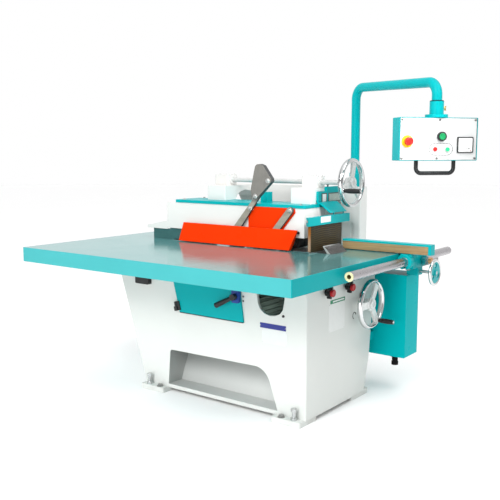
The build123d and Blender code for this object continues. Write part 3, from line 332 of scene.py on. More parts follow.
L.over(recess, L.mix(shade, recess_shade_tone, (0.30, 0.315, 0.305)), 0.45)
foot = L.math("MULTIPLY", L.below("z", 34, 26), L.remap(L.noise(14.0, 6.0, 0.65), 0.42, 0.72))
L.over(L.math("MULTIPLY", foot, 0.35), (0.42, 0.41, 0.38), 0.6)
give(L.done(0.0035), "base_casting")

# --- table: ground top face, painted edge, steel strips -----------------------
L = painted("table_iron", TEAL, 0.30, 0.03, 0.09, 0.05)
# edge faces: a paler, greyer teal on the -X face and a darker teal on the -Y face, painted light and shade
L.over(L.facing("x", -1, 0.6), varied(L, (0.055, 0.36, 0.375), 0.03, 2.6), 0.28)
L.over(L.facing("y", -1, 0.6), varied(L, (0.0, 0.335, 0.355), 0.03, 2.6), 0.30)
top = L.all(L.above("z", 819.4, 0.2), L.facing("z", 1, 0.9))
swirl = L.noise(1.0, 4.0, 0.62, stretch=(2.2, 150, 60))
cloud = L.noise(3.2, 5.0, 0.6)
ground = L.mix(L.remap(swirl, 0.32, 0.68), (0.115, 0.335, 0.335), (0.165, 0.405, 0.405))
ground = L.mix(L.math("MULTIPLY", L.remap(cloud, 0.35, 0.7), 0.35), ground, (0.22, 0.44, 0.44))
L.over(top, ground, L.remap(cloud, 0.3, 0.7, 0.10, 0.19), 0.55)
strip = L.all(L.above("z", 820.5, 0.2))
L.over(strip, (0.50, 0.52, 0.52), 0.24, 1.0)
walls = L.all(L.band("x", 814, 1012), L.band("y", 270, 1466), L.below("z", 819.2, 0.2))
L.over(walls, L.mix(L.remap(cloud, 0.3, 0.7), (0.17, 0.175, 0.175), (0.26, 0.265, 0.26)), 0.42, 0.5)
L.height(L.math("MULTIPLY", swirl, top), 0.02, 0.0004)
give(L.done(0.0022), "table_top")

# --- white fabricated pieces --------------------------------------------------
L = painted("white_hood", (0.745, 0.725, 0.705), 0.32, 0.018, 0.09, 0.0)
# faces toward -Y painted paler: painted light on the front faces
L.over(L.facing("y", -1, 0.6), varied(L, (0.84, 0.83, 0.81), 0.015, 3.0), 0.34)
give(L.done(0.003), "press_hood")
L = painted("white_frame", (0.72, 0.705, 0.685), 0.33, 0.02, 0.10, 0.06)
# faces toward -Y painted paler: painted light on the front faces
L.over(L.facing("y", -1, 0.6), varied(L, (0.82, 0.81, 0.79), 0.015, 3.0), 0.34)
give(L.done(0.003), "upper_frame")
L = painted("white_caps", (0.655, 0.645, 0.625), 0.33, 0.02, 0.10, 0.05)
# faces toward -Y painted paler: painted light on the front faces
L.over(L.facing("y", -1, 0.6), varied(L, (0.82, 0.81, 0.79), 0.015, 3.0), 0.34)
sock = L.near(W(1345, 434, 1200), 60, axis=(0, 0, 1))
L.over(sock, varied(L, TEAL, 0.04, 4.0), 0.30)
give(L.done(0.003), "frame_caps")

# --- teal painted pieces --------------------------------------------------------
L = painted("teal_sheet", TEAL, 0.30, 0.03, 0.09)
give(L.done(0.0022), "cabinet_door")
L = painted("teal_door", TEAL, 0.30, 0.03, 0.09)
# painted shadow: dark band along the door's lower edge
L.over(L.below("z", 486.0, 1.0), (0.012, 0.045, 0.05), 0.5)
give(L.done(0.0022), "access_door")
L = painted("teal_box", TEAL, 0.30, 0.03, 0.09)
L.over(L.above("z", 1630.5, 0.3), (0.004, 0.035, 0.04), 0.4)
give(L.done(0.0022), "control_box")
give(painted("teal_cast", TEAL, 0.30, 0.035, 0.10, 0.05).done(0.003), "hood_top_plate", "fence_beam")
L = painted("teal_pipe", TEAL, 0.26, 0.03, 0.07)
give(L.done(0.0015), "boom_pipe")
L = painted("teal_bracket", TEAL, 0.30, 0.035, 0.10, 0.05)
bore = L.all(L.near(W(1100, -45, 779), 25.6, axis=(1, 0, 0)))
L.over(bore, (0.50, 0.51, 0.50), 0.3, 1.0)
give(L.done(0.0022), "fence_bracket")

L = painted("teal_cabinet", (0.0, 0.425, 0.45), 0.30, 0.03, 0.09)
gland = L.below("z", 212.6, 0.2)
L.over(gland, (0.012, 0.012, 0.013), 0.42)
pin = L.all(L.above("x", 1293.5), L.above("y", 350.3))
L.over(pin, (0.40, 0.41, 0.41), 0.3, 1.0)
inside = L.all(L.band("x", 1135.5, 1294.5, 0.2), L.band("y", -18.5, 346.5, 0.2), L.band("z", 216.5, 686.5, 0.2))
L.over(inside, (0.42, 0.44, 0.43), 0.5)
give(L.done(0.002), "cabinet_shell")

# --- red guard ------------------------------------------------------------------
L = painted("red_guard", RED, 0.30, 0.05, 0.08, 0.0, 0.5, (0.45, 0.40, 0.37))
L.height(L.noise(5.0, 2.0), 0.04, 0.004)
give(L.done(0.0016), "safety_guard")
L = painted("red_mount", RED, 0.33, 0.05, 0.09, 0.0, 0.4, (0.45, 0.40, 0.37))
pins = L.below("x", 821.4)
L.over(pins, (0.50, 0.51, 0.51), 0.28, 1.0)
give(L.done(0.0016), "guard_mount")

# --- grey lever and link: cut plate, ground faces and dark sawn edges ------------
L = steel_look("cut_plate", (0.20, 0.19, 0.175), 0.45, "z", 0.45, 0.10)
L.c = L.mix(L.remap(L.noise(11.0, 5.0, 0.6), 0.35, 0.7), L.c, (0.25, 0.235, 0.215))
arm = L.below("z", 1088, 8.0)
L.over(arm, L.mix(L.remap(L.noise(1.0, 4.0, 0.6, stretch=(200, 14, 30)), 0.3, 0.7), (0.27, 0.245, 0.20), (0.37, 0.335, 0.28)), 0.42, 0.25)
rim = L.no(L.facing("x", 0, 0.82))
L.over(rim, L.mix(L.noise(1.0, 3.0, 0.6, stretch=(4, 160, 160)), (0.045, 0.045, 0.047), (0.13, 0.13, 0.13)), 0.5, 0.5)
L.height(L.noise(60.0, 4.0, 0.6), 0.10, 0.0008)
give(L.done(0.0018), "guard_lever", "guard_link")

# --- kickback fingers, finger bar -------------------------------------------------
L = Look("finger_steel", (0.05, 0.04, 0.024), 0.5, 0.15)
streak = L.noise(1.0, 4.0, 0.65, stretch=(90, 60, 320))
blot = L.noise(16.0, 5.0, 0.6)
each = L.add("ShaderNodeTexWhiteNoise", noise_dimensions="1D")
L.link(L.math("FLOOR", L.math("DIVIDE", L.math("SUBTRACT", L.xyz("x"), wx(755.0)), 0.0100588)), each.inputs["W"])
brown = L.mix(L.remap(streak, 0.38, 0.66), (0.022, 0.014, 0.004), (0.080, 0.052, 0.018))
brown = L.mix(L.math("MULTIPLY", each.outputs["Value"], 0.75), brown, (0.020, 0.014, 0.007))
L.c = L.mix(L.math("MULTIPLY", L.remap(blot, 0.45, 0.7), 0.5), brown, (0.105, 0.070, 0.026))
idx = L.math("FLOOR", L.math("DIVIDE", L.math("SUBTRACT", L.xyz("x"), wx(755.0)), 0.0402))
step = L.add("ShaderNodeTexWhiteNoise", noise_dimensions="1D")
L.link(idx, step.inputs["W"])
row = L.math("ADD", L.math("DIVIDE", L.xyz("z"), 0.0122), step.outputs["Value"])
row = L.math("ADD", row, L.math("MULTIPLY", L.noise(7.0, 2.0), 1.1))
gap = L.math("FRACT", row)
joint = L.math("MULTIPLY", L.remap(gap, 0.22, 0.46, 1.0, 0.0), 0.95)
L.over(joint, (0.006, 0.0045, 0.0025), 0.7)
lit = L.math("MULTIPLY", L.remap(gap, 0.50, 0.85), 0.55)
L.over(lit, (0.100, 0.064, 0.022), 0.6)
L.r = L.remap(blot, 0.3, 0.7, 0.38, 0.62)
L.height(gap, 0.25, 0.0012)
L.over(L.math("MULTIPLY", L.edges(0.0010), 0.25), (0.12, 0.085, 0.04), 0.5, 0.4)
L.height(streak, 0.12, 0.0008)
give(L.done(0.0012), "kickback_fingers")

# lower fingers: dark steel plates with darker blotches, a painted highlight on the flank facing -X and a painted
# highlight near the points
L = painted("low_finger_steel", (0.038, 0.032, 0.030), 0.62, 0.14, 0.06, 0.0, 0.05, (0.10, 0.095, 0.09), spec=0.06)
L.over(L.math("MULTIPLY", L.remap(L.noise(30.0, 5.0, 0.6), 0.45, 0.72), 0.6), (0.028, 0.024, 0.022), 0.60, 0.1)
# painted highlight on the flank facing -X
L.over(L.facing("x", -1, 0.6), L.mix(L.remap(L.noise(45.0, 4.0), 0.3, 0.7), (0.36, 0.36, 0.35), (0.47, 0.47, 0.46)), 0.42, 0.3)
# painted highlight on the top near the points
L.over(L.math("MULTIPLY", L.above("z", 857, 2.0), L.below("x", 920, 40)), (0.50, 0.50, 0.49), 0.32, 0.6)
give(L.done(0.0010), "lower_fingers")

L = painted("teal_bar", TEAL, 0.30, 0.035, 0.10)
L.over(L.all(L.band("x", 842, 950), L.below("y", 366), L.band("z", 986, 1019.5)), varied(L, (0.74, 0.75, 0.74), 0.02, 20.0), 0.4)
L.over(L.all(L.band("x", 749.2, 754.3, 0.1), L.band("z", 831, 973.8, 0.1)), L.mix(L.remap(L.xyz("z"), wz(880), wz(930)), (0.33, 0.21, 0.14), (0.29, 0.095, 0.016)), 0.45)
shaft = L.all(L.near(W(900, 381, 1000), 7.6, axis=(1, 0, 0)))
L.over(shaft, (0.5, 0.5, 0.5), 0.3, 1.0)
give(L.done(0.0022), "finger_bar")

# --- handwheels --------------------------------------------------------------------
def wheel_look(name, cx, cz, y_face, r_out, shaft_from, pale=1.0):
    L = Look(name, (0.52, 0.53, 0.53), 0.10, 1.0)
    L.c = L.mix(L.remap(L.noise(6.0, 3.0), 0.3, 0.7), tone((0.47, 0.48, 0.485), pale), tone((0.58, 0.59, 0.59), pale))
    L.r = L.remap(L.noise(40.0, 5.0, 0.6), 0.3, 0.7, 0.06, 0.15)
    spokes = L.all(L.near(W(cx, y_face, cz), r_out - 23.0, 1.0, axis=(0, 1, 0)), L.below("y", y_face + 26.0))
    cast = L.mix(L.remap(L.noise(55.0, 4.0), 0.35, 0.65), tone((0.54, 0.56, 0.55), pale), tone((0.68, 0.69, 0.68), pale))
    L.over(spokes, cast, 0.36, 0.30)
    hub = L.all(L.near(W(cx, y_face, cz), 15.0, 0.3, axis=(0, 1, 0)), L.below("y", y_face + 30.0))
    L.over(hub, (0.52, 0.53, 0.53), 0.22, 1.0)
    rod = L.above("y", y_face + shaft_from)
    L.over(rod, L.mix(L.remap(L.noise(1.0, 3.0, 0.6, stretch=(420, 6, 420)), 0.3, 0.7), (0.47, 0.48, 0.47), (0.56, 0.57, 0.56)), 0.36, 0.15)
    L.height(L.noise(90.0, 3.0), 0.03, 0.0005)
    return L.done(0.0022)


give(wheel_look("wheel_upper", 1064, 1202, 300, 139.5, 32.0), "upper_handwheel")
give(wheel_look("wheel_lower", 918, 551, 85, 139, 31.0, 1.22), "lower_handwheel")

L = steel_look("fence_wheel", (0.66, 0.67, 0.67), 0.14, "y")
disc = L.all(L.near(W(1180, -166, 715), 58.5, 0.8, axis=(0, 1, 0)), L.below("y", -158))
L.over(disc, varied(L, TEAL, 0.05, 9.0), 0.32, 0.0)
hub = L.all(L.near(W(1180, -166, 715), 9.4, 0.2, axis=(0, 1, 0)))
L.over(hub, (0.5, 0.51, 0.51), 0.25, 1.0)
give(L.done(0.0018), "fence_handwheel")

L = Look("lock_knob", (0.01, 0.09, 0.10), 0.34)
L.c = varied(L, (0.002, 0.23, 0.25), 0.10, 30.0)
stem = L.near(W(1200, -100, 777), 8.0, 0.2, axis=(0, 1, 0))
L.over(stem, (0.60, 0.61, 0.60), 0.25, 1.0)
ring = L.below("y", -120.6)
L.over(ring, L.mix(L.noise(60.0, 3.0), (0.50, 0.26, 0.13), (0.62, 0.34, 0.18)), 0.28, 1.0)
L.height(L.noise(140.0, 3.0), 0.06, 0.0004)
give(L.done(0.0012), "fence_lock_knob")

# --- black plastic pieces ---------------------------------------------------------
def plastic(name, c, rough=0.42, grain=0.12, spec=0.5):
    L = Look(name, c, rough)
    L.c = varied(L, c, 0.12, 18.0)
    L.r = L.remap(L.noise(30.0, 4.0), 0.3, 0.7, rough - 0.06, rough + 0.08)
    L.height(L.noise(480.0, 2.0), grain, 0.0003)
    return L


give(plastic("black_grip", BLACK, 0.30, 0.05).done(0.001), "upper_crank_grip", "lower_crank_grip", "door_lever")
give(plastic("black_tube", BLACK, 0.36, 0.10).done(0.001), "pendant_handle")
give(plastic("black_cast", (0.016, 0.016, 0.017), 0.46, 0.18).done(0.0012), "door_hinges", "side_buffer")
L = plastic("door_black", (0.016, 0.016, 0.017), 0.44, 0.15)
L.over(L.all(L.below("y", 640), L.below("x", 368)), varied(L, (0.006, 0.045, 0.27), 0.12, 22.0), 0.36)
give(L.done(0.0012), "door_fittings")
L = plastic("knob_black", (0.014, 0.014, 0.015), 0.34, 0.08)
L.over(L.below("y", 117.6, 0.2), varied(L, (0.40, 0.010, 0.014), 0.08, 30.0), 0.30)
L.over(L.above("y", 152.5, 0.3), (0.5, 0.51, 0.51), 0.3, 1.0)
give(L.done(0.0012), "star_knob_left", "star_knob_right")

# --- rail, shafts, chain, saw unit ---------------------------------------------------
L = steel_look("rail_steel", (0.40, 0.385, 0.40), 0.26, "x", 1.0, 0.05)
end = L.all(L.below("x", 432.2, 0.2), L.no(L.near(W(431, -45, 779), 11.4, 0.2, axis=(1, 0, 0))))
L.over(end, L.mix(L.noise(1.0, 2.0, 0.5, stretch=(40, 300, 300)), (0.72, 0.66, 0.36), (0.84, 0.79, 0.48)), 0.36, 0.3)
hole = L.all(L.near(W(431, -45, 779), 11.3, 0.2, axis=(1, 0, 0)), L.below("x", 480))
L.over(hole, (0.20, 0.165, 0.05), 0.55, 0.1)
L.over(L.below("z", 752), (0.30, 0.305, 0.30), 0.38, 1.0)
L.over(L.above("y", -19.5, 0.3), varied(L, (0.60, 0.61, 0.60), 0.04, 5.0), 0.36, 0.0)
give(L.done(0.0012), "fence_rail")

L = steel_look("bright_steel", (0.54, 0.55, 0.55), 0.24, "z")
give(L.done(0.001), "saw_guides", "levelling_screws")
L = steel_look("arbor_steel", (0.50, 0.51, 0.52), 0.26, "x")
give(L.done(0.001), "saw_arbor", "motor_pulley", "idler_wheel", "drive_wheel")

L = Look("blade_steel", (0.58, 0.59, 0.60), 0.22, 1.0)
ringn = L.add("ShaderNodeTexWave", wave_type="RINGS", rings_direction="X", wave_profile="SIN")
mp = L.add("ShaderNodeMapping")
L.link(L.tc.outputs["Object"], mp.inputs["Vector"])
mp.inputs["Location"].default_value = (0.0, -wy(800), -wz(722))
L.link(mp.outputs[0], ringn.inputs["Vector"])
ringn.inputs["Scale"].default_value = 260.0
ringn.inputs["Distortion"].default_value = 0.6
L.c = L.mix(ringn.outputs[1], (0.50, 0.51, 0.52), (0.64, 0.65, 0.66))
L.r = L.remap(L.noise(20.0, 4.0), 0.3, 0.7, 0.16, 0.30)
tip = L.no(L.near(W(905, 800, 722), 141, 0.5, axis=(1, 0, 0)))
L.over(tip, (0.36, 0.36, 0.37), 0.34, 1.0)
L.height(ringn.outputs[1], 0.03, 0.0002)
give(L.done(0.0006), "saw_blade")

L = steel_look("chain_iron", (0.17, 0.17, 0.165), 0.40, "x", 0.85, 0.16)
L.over(L.math("MULTIPLY", L.edges(0.0015), 0.8), (0.42, 0.42, 0.41), 0.28, 1.0)
L.over(L.math("MULTIPLY", L.remap(L.noise(24.0, 5.0, 0.65), 0.52, 0.72), 0.6), (0.085, 0.075, 0.06), 0.55, 0.5)
ribs = L.add("ShaderNodeTexWave", wave_type="BANDS", bands_direction="X", wave_profile="TRI")
L.link(L.tc.outputs["Object"], ribs.inputs["Vector"])
ribs.inputs["Scale"].default_value = 55.0
L.height(ribs.outputs[1], 0.35, 0.0012)
give(L.done(0.0015), "feed_chain")

give(painted("dark_casting", (0.12, 0.125, 0.125), 0.5, 0.08, 0.14, 0.10).done(0.002), "chain_bed", "saw_carriage")
L = painted("motor_paint", (0.045, 0.085, 0.10), 0.42, 0.08, 0.12, 0.08)
give(L.done(0.0015), "saw_motor", "feed_gear_motor")
L = painted("beam_paint", (0.055, 0.058, 0.058), 0.45, 0.08, 0.12, 0.05)
L.over(L.above("z", 985.0), (0.55, 0.56, 0.56), 0.18, 1.0)
give(L.done(0.0015), "press_beam")


def rubber(name, c, rough=0.72):
    L = Look(name, c, rough)
    L.c = varied(L, c, 0.14, 22.0)
    L.r = L.remap(L.noise(35.0, 4.0), 0.3, 0.7, rough - 0.08, rough + 0.08)
    L.height(L.noise(210.0, 4.0, 0.6), 0.18, 0.0006)
    return L


give(rubber("belt_rubber", (0.022, 0.022, 0.022)).done(0.0008), "drive_belt")
L = rubber("roller_rubber", (0.026, 0.026, 0.027), 0.62)
axle = L.near(W(900, 0, 863), 1.0)
L.over(L.any(L.below("x", 857.6, 0.2), L.above("x", 952.4, 0.2)), (0.5, 0.51, 0.51), 0.3, 1.0)
give(L.done(0.001), "press_roller_1", "press_roller_2", "press_roller_3", "press_roller_4")
give(rubber("skirt_rubber", (0.035, 0.115, 0.115), 0.6).done(0.0008), "outfeed_skirts")

# --- fence board ----------------------------------------------------------------------
L = Look("board_wood", (0.40, 0.26, 0.12), 0.5)
grain = L.noise(1.0, 6.0, 0.68, stretch=(55, 2.4, 70), distort=0.6)
fibre = L.noise(1.0, 3.0, 0.6, stretch=(420, 9, 420))
tan_c = L.mix(L.remap(grain, 0.34, 0.66), (0.20, 0.125, 0.052), (0.42, 0.285, 0.135))
L.c = L.mix(L.math("MULTIPLY", L.remap(fibre, 0.5, 0.75), 0.45), tan_c, (0.20, 0.115, 0.048))
L.r = L.remap(grain, 0.3, 0.7, 0.42, 0.60)
L.over(L.math("MULTIPLY", L.edges(0.0012), 0.4), (0.56, 0.41, 0.23), 0.55)
L.height(fibre, 0.16, 0.0006)
give(L.done(0.0012), "fence_facing")

# --- control box pieces ------------------------------------------------------------------
BA = math.radians(41.0)
BU = Vector((math.cos(BA), -math.sin(BA), 0.0))
BN = Vector((-math.sin(BA), -math.cos(BA), 0.0))
AZB = math.radians(28.0)
EX = 1345.0 - 745.0 * math.sin(AZB)
EY = 434.0 - 745.0 * math.cos(AZB)
UP = Vector((0, 0, 1))


def panel(u, z, out=0.0):
    """A point on the control panel: u mm right of the pipe's axis, height z, out mm in front of the panel."""
    return W(EX, EY, z) + BU * (u / 1000.0) + BN * ((47.0 + out) / 1000.0)


E_STOP, START, STOP, FEED, METER = (-178, 1428), (7, 1453), (-27, 1389), (41, 1388), (139, 1411)

L = Look("panel_white", (0.565, 0.578, 0.574), 0.34)
L.c = varied(L, (0.565, 0.578, 0.574), 0.012, 6.0)
L.r = L.remap(L.noise(50.0, 4.0), 0.3, 0.7, 0.28, 0.40)
L.over(L.math("MULTIPLY", L.edges(0.001), 0.6), (0.40, 0.415, 0.415), 0.3)
fit = L.ahead(W(EX, EY, 1440), BN, 47.3)
L.over(fit, varied(L, (0.014, 0.014, 0.015), 0.12, 18.0), 0.34)
for q in (STOP, FEED):
    L.over(L.all(fit, L.near(panel(*q), 18, axis=BN)), varied(L, (0.62, 0.64, 0.63), 0.05, 30.0), 0.28)
L.over(L.all(fit, L.near(panel(*E_STOP), 40, axis=BN)), varied(L, (0.80, 0.56, 0.012), 0.05, 40.0), 0.38)
L.height(L.noise(600.0, 2.0), 0.05, 0.0003)
give(L.done(0.0008), "control_panel")
L = plastic("stop_red", (0.68, 0.016, 0.014), 0.26, 0.04)
give(L.done(0.001), "stop_mushroom")
give(plastic("cap_red", (0.66, 0.018, 0.016), 0.28, 0.04).done(0.0008), "stop_button")
give(plastic("cap_green", (0.008, 0.26, 0.085), 0.28, 0.04).done(0.0008), "start_button")
give(plastic("feed_green", (0.02, 0.50, 0.22), 0.30, 0.04).done(0.0008), "feed_button")
L = steel_look("brass_screw", (0.66, 0.47, 0.18), 0.28, "x", 1.0, 0.10)
give(L.done(0.0008), "clamp_screw")


# ----------------------------------------------------------------------------
# trim pieces, built in the shared frame
# ----------------------------------------------------------------------------
def to_object(name, bm, mat, body, sharp=32.0):
    bmesh.ops.recalc_face_normals(bm, faces=bm.faces)
    for f in bm.faces:
        f.smooth = True
    lim = math.radians(sharp)
    for e in bm.edges:
        e.smooth = len(e.link_faces) == 2 and e.calc_face_angle(0.0) < lim
    me = bpy.data.meshes.new(name)
    bm.to_mesh(me)
    bm.free()
    me.materials.append(mat)
    o = bpy.data.objects.new(name, me)
    scene.collection.objects.link(o)
    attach(o, body)
    return o


def basis(o, n, up=UP):
    """Frame with its origin at o: u to the right and v up when looking against n."""
    n = Vector(n).normalized()
    u = Vector(up).cross(n)
    if u.length < 1e-6:
        u = Vector((1, 0, 0))
    u.normalize()
    v = n.cross(u)
    return Vector(o), u, v, n


def pt(B, a, b, h):
    o, u, v, n = B
    return o + u * (a / 1000.0) + v * (b / 1000.0) + n * (h / 1000.0)


def lathe(bm, B, prof, segs=32, a=0.0, b=0.0):
    """Turned shape: prof is (radius, height) from the foot to the crown."""
    rows = []
    for r, h in prof:
        if r < 1e-6:
            rows.append([bm.verts.new(pt(B, a, b, h))])
        else:
            rows.append([bm.verts.new(pt(B, a + r * math.cos(2 * math.pi * k / segs), b + r * math.sin(2 * math.pi * k / segs), h))
                         for k in range(segs)])
    for p, q in zip(rows, rows[1:]):
        for k in range(segs):
            j = (k + 1) % segs
            if len(p) == 1 and len(q) == 1:
                continue
            if len(p) == 1:
                bm.faces.new((p[0], q[j], q[k]))
            elif len(q) == 1:
                bm.faces.new((p[k], p[j], q[0]))
            else:
                bm.faces.new((p[k], p[j], q[j], q[k]))
    if len(rows[0]) > 1:
        bm.faces.new(list(reversed(rows[0])))
    if len(rows[-1]) > 1:
        bm.faces.new(rows[-1])


def slab(bm, B, pts, h0, h1, cham=0.0):
    """Flat shape: outline pts (a, b) from height h0 to h1 with a small chamfer round its face."""
    n = len(pts)
    cx = sum(p[0] for p in pts) / n
    cy = sum(p[1] for p in pts) / n

    def shrink(p, d):
        v = Vector((p[0] - cx, p[1] - cy))
        ln = max(v.length, 1e-6)
        return cx + v.x * (1 - d / ln), cy + v.y * (1 - d / ln)

    rows = [(0.0, h0), (0.0, h1 - cham), (cham, h1)] if cham else [(0.0, h0), (0.0, h1)]
    loops = [[bm.verts.new(pt(B, *shrink(p, d), h)) for p in pts] for d, h in rows]
    for p, q in zip(loops, loops[1:]):
        for k in range(n):
            j = (k + 1) % n
            bm.faces.new((p[k], p[j], q[j], q[k]))
    bm.faces.new(list(reversed(loops[0])))
    bm.faces.new(loops[-1])


def round_rect(w, h, r, n=6, cx=0.0, cy=0.0):
    out = []
    for sx, sy, a0 in ((1, 1, 0), (-1, 1, 90), (-1, -1, 180), (1, -1, 270)):
        for k in range(n + 1):
            t = math.radians(a0 + 90.0 * k / n)
            out.append((cx + sx * (w / 2 - r) + r * math.cos(t), cy + sy * (h / 2 - r) + r * math.sin(t)))
    return out


def hexagon(af, turn=0.0, cx=0.0, cy=0.0):
    r = af / 2 / math.cos(math.pi / 6)
    return [(cx + r * math.cos(math.pi / 3 * k + turn), cy + r * math.sin(math.pi / 3 * k + turn)) for k in range(6)]


def pan_screw(bm, B, a, b, r, h, turn=0.0):
    """Domed screw head with a sunk slot: two half domes either side of the slot."""
    for s in (1, -1):
        prof = []
        m = 10
        for k in range(m + 1):
            t = math.pi * k / m
            prof.append((r * math.cos(t), s * max(r * math.sin(t), r * 0.13)))
        ca, sa = math.cos(turn), math.sin(turn)
        low = [bm.verts.new(pt(B, a + p[0] * ca - p[1] * sa, b + p[0] * sa + p[1] * ca, 0.0)) for p in prof]
        mid = [bm.verts.new(pt(B, a + 0.96 * (p[0] * ca - p[1] * sa), b + 0.96 * (p[0] * sa + p[1] * ca), h * 0.6)) for p in prof]
        top = [bm.verts.new(pt(B, a + 0.62 * (p[0] * ca - p[1] * sa), b + 0.62 * (p[0] * sa + p[1] * ca), h)) for p in prof]
        for p, q in ((low, mid), (mid, top)):
            for k in range(len(p)):
                j = (k + 1) % len(p)
                bm.faces.new((p[k], p[j], q[j], q[k]))
        bm.faces.new(top)
        bm.faces.new(list(reversed(low)))
    lathe(bm, B, [(r * 0.9, 0.0), (r * 0.9, h * 0.35)], 20, a, b)


def cap_screw(bm, B, a, b, r, h):
    """Socket-head screw: turned head, chamfered, with a sunk recess."""
    lathe(bm, B, [(r, 0.0), (r, h * 0.82), (r * 0.90, h), (r * 0.52, h), (r * 0.50, h * 0.45), (0.0, h * 0.40)], 28, a, b)


def hex_bolt(bm, B, a, b, af, h, washer=True, turn=0.2):
    z = 0.0
    if washer:
        lathe(bm, B, [(af * 0.92, 0.0), (af * 0.92, 1.6), (af * 0.86, 2.0), (0.0, 2.0)], 28, a, b)
        z = 2.0
    slab(bm, B, hexagon(af, turn, a, b), z, z + h, af * 0.06)
    lathe(bm, B, [(af * 0.40, z + h - 0.05), (af * 0.36, z + h + 0.5), (0.0, z + h + 0.6)], 20, a, b)


def zinc():
    L = steel_look("zinc_screw", (0.58, 0.585, 0.57), 0.28, "z", 1.0, 0.08)
    return L.done(0.0004)


ZINC = zinc()
L = steel_look("dark_screw", (0.06, 0.06, 0.062), 0.36, "z", 0.7, 0.12)
DARK = L.done(0.0004)


def print_look(name, c, rough=0.4, amount=0.03):
    L = Look(name, c, rough)
    L.c = varied(L, c, amount, 34.0)
    L.r = L.remap(L.noise(60.0, 4.0), 0.3, 0.7, rough - 0.05, rough + 0.08)
    L.height(L.noise(500.0, 2.0), 0.05, 0.0002)
    return L.done()


def plate(name, B, w, h, mat, body, t=0.9, r=3.0, cx=0.0, cy=0.0, lift=0.0, cham=0.35):
    bm = bmesh.new()
    slab(bm, B, round_rect(w, h, r, 6, cx, cy), lift, lift + t, cham)
    return to_object(name, bm, mat, body)


# --- control panel: screws, dashed outline, ammeter face --------------------------------
PB = basis(panel(0, 1440), BN)
bm = bmesh.new()
for k, (a, z) in enumerate(((-207, 1537), (-3, 1537), (195, 1537), (-207, 1343), (-15, 1343), (195, 1343))):
    pan_screw(bm, PB, a, z - 1440, 6.2, 2.8, 0.5 + 0.7 * k)
L = steel_look("panel_screw", (0.20, 0.205, 0.20), 0.34, "z", 0.9, 0.10)
to_object("panel_screws", bm, L.done(0.0004), "pendant")

GREY_INK = print_look("grey_ink", (0.07, 0.075, 0.075), 0.45, 0.05)
BLACK_INK = print_look("black_ink", (0.018, 0.018, 0.019), 0.40, 0.10)
bm = bmesh.new()
pw, ph, pr = 129.0, 59.0, 29.4
line = round_rect(pw, ph, pr, 14, 7.0, 1388.5 - 1440)
total, pts = 0.0, []
loop = line + line[:1]
lens = [0.0]
for p, q in zip(loop, loop[1:]):
    lens.append(lens[-1] + math.hypot(q[0] - p[0], q[1] - p[1]))


def along(s):
    s = s % lens[-1]
    for k in range(len(loop) - 1):
        if s <= lens[k + 1] and lens[k + 1] > lens[k]:
            t = (s - lens[k]) / (lens[k + 1] - lens[k])
            p, q = loop[k], loop[k + 1]
            return (p[0] + (q[0] - p[0]) * t, p[1] + (q[1] - p[1]) * t)
    return loop[0]


n_dash = 40
for k in range(n_dash):
    s0 = lens[-1] * k / n_dash
    for i in range(3):
        a0 = along(s0 + i * 1.9)
        a1 = along(s0 + (i + 1) * 1.9 + 0.05)
        d = Vector((a1[0] - a0[0], a1[1] - a0[1]))
        if d.length < 1e-6:
            continue
        d.normalize()
        nx, ny = -d.y * 1.7, d.x * 1.7
        slab(bm, PB, [(a0[0] + nx, a0[1] + ny), (a0[0] - nx, a0[1] - ny), (a1[0] - nx, a1[1] - ny), (a1[0] + nx, a1[1] + ny)], 0.0, 0.18)
to_object("panel_outline", bm, BLACK_INK, "pendant")

MB = basis(panel(METER[0], METER[1], 7.0), BN)
bm = bmesh.new()
outer = round_rect(88.0, 80.0, 4.0, 6)
innr = round_rect(78.0, 70.0, 3.0, 6)
rows = []
for pts_, h in ((outer, 0.0), (outer, 1.6), (round_rect(86.0, 78.0, 3.6, 6), 2.4), (innr, 2.4), (innr, 0.2)):
    rows.append([bm.verts.new(pt(MB, a, b, h)) for a, b in pts_])
for p, q in zip(rows, rows[1:]):
    for k in range(len(p)):
        j = (k + 1) % len(p)
        bm.faces.new((p[k], p[j], q[j], q[k]))
to_object("meter_frame", bm, plastic("meter_black", (0.02, 0.021, 0.022), 0.30, 0.06).done(0.0006), "pendant")

L = Look("meter_face", (0.84, 0.85, 0.84), 0.22)
L.c = varied(L, (0.83, 0.845, 0.835), 0.012, 30.0)
L.r = L.remap(L.noise(70.0, 4.0), 0.3, 0.7, 0.16, 0.30)
FACE = L.done(0.0, 0.5, 0.6, 0.06)
plate("meter_card", MB, 77.6, 69.6, FACE, "pendant", 0.5, 2.6, 0, 0, 0.0, 0.1)
bm = bmesh.new()
pv = (20.0, -20.0)
for k in range(21):
    t = math.radians(94 + 82.0 * k / 20)
    r1 = 39.0
    r0 = r1 - (5.0 if k % 5 == 0 else 3.0)
    wd = 0.5 if k % 5 == 0 else 0.28
    c, s = math.cos(t), math.sin(t)
    slab(bm, MB, [(pv[0] + r0 * c - wd * s, pv[1] + r0 * s + wd * c), (pv[0] + r0 * c + wd * s, pv[1] + r0 * s - wd * c),
                  (pv[0] + r1 * c + wd * s, pv[1] + r1 * s - wd * c), (pv[0] + r1 * c - wd * s, pv[1] + r1 * s + wd * c)], 0.45, 0.62)
for k in range(20):
    t0, t1 = math.radians(94 + 82.0 * k / 20), math.radians(94 + 82.0 * (k + 1) / 20)
    slab(bm, MB, [(pv[0] + 35.6 * math.cos(t0), pv[1] + 35.6 * math.sin(t0)), (pv[0] + 35.6 * math.cos(t1), pv[1] + 35.6 * math.sin(t1)),
                  (pv[0] + 34.9 * math.cos(t1), pv[1] + 34.9 * math.sin(t1)), (pv[0] + 34.9 * math.cos(t0), pv[1] + 34.9 * math.sin(t0))], 0.45, 0.6)
to_object("meter_scale", bm, GREY_INK, "pendant")
bm = bmesh.new()
t = math.radians(170)
c, s = math.cos(t), math.sin(t)
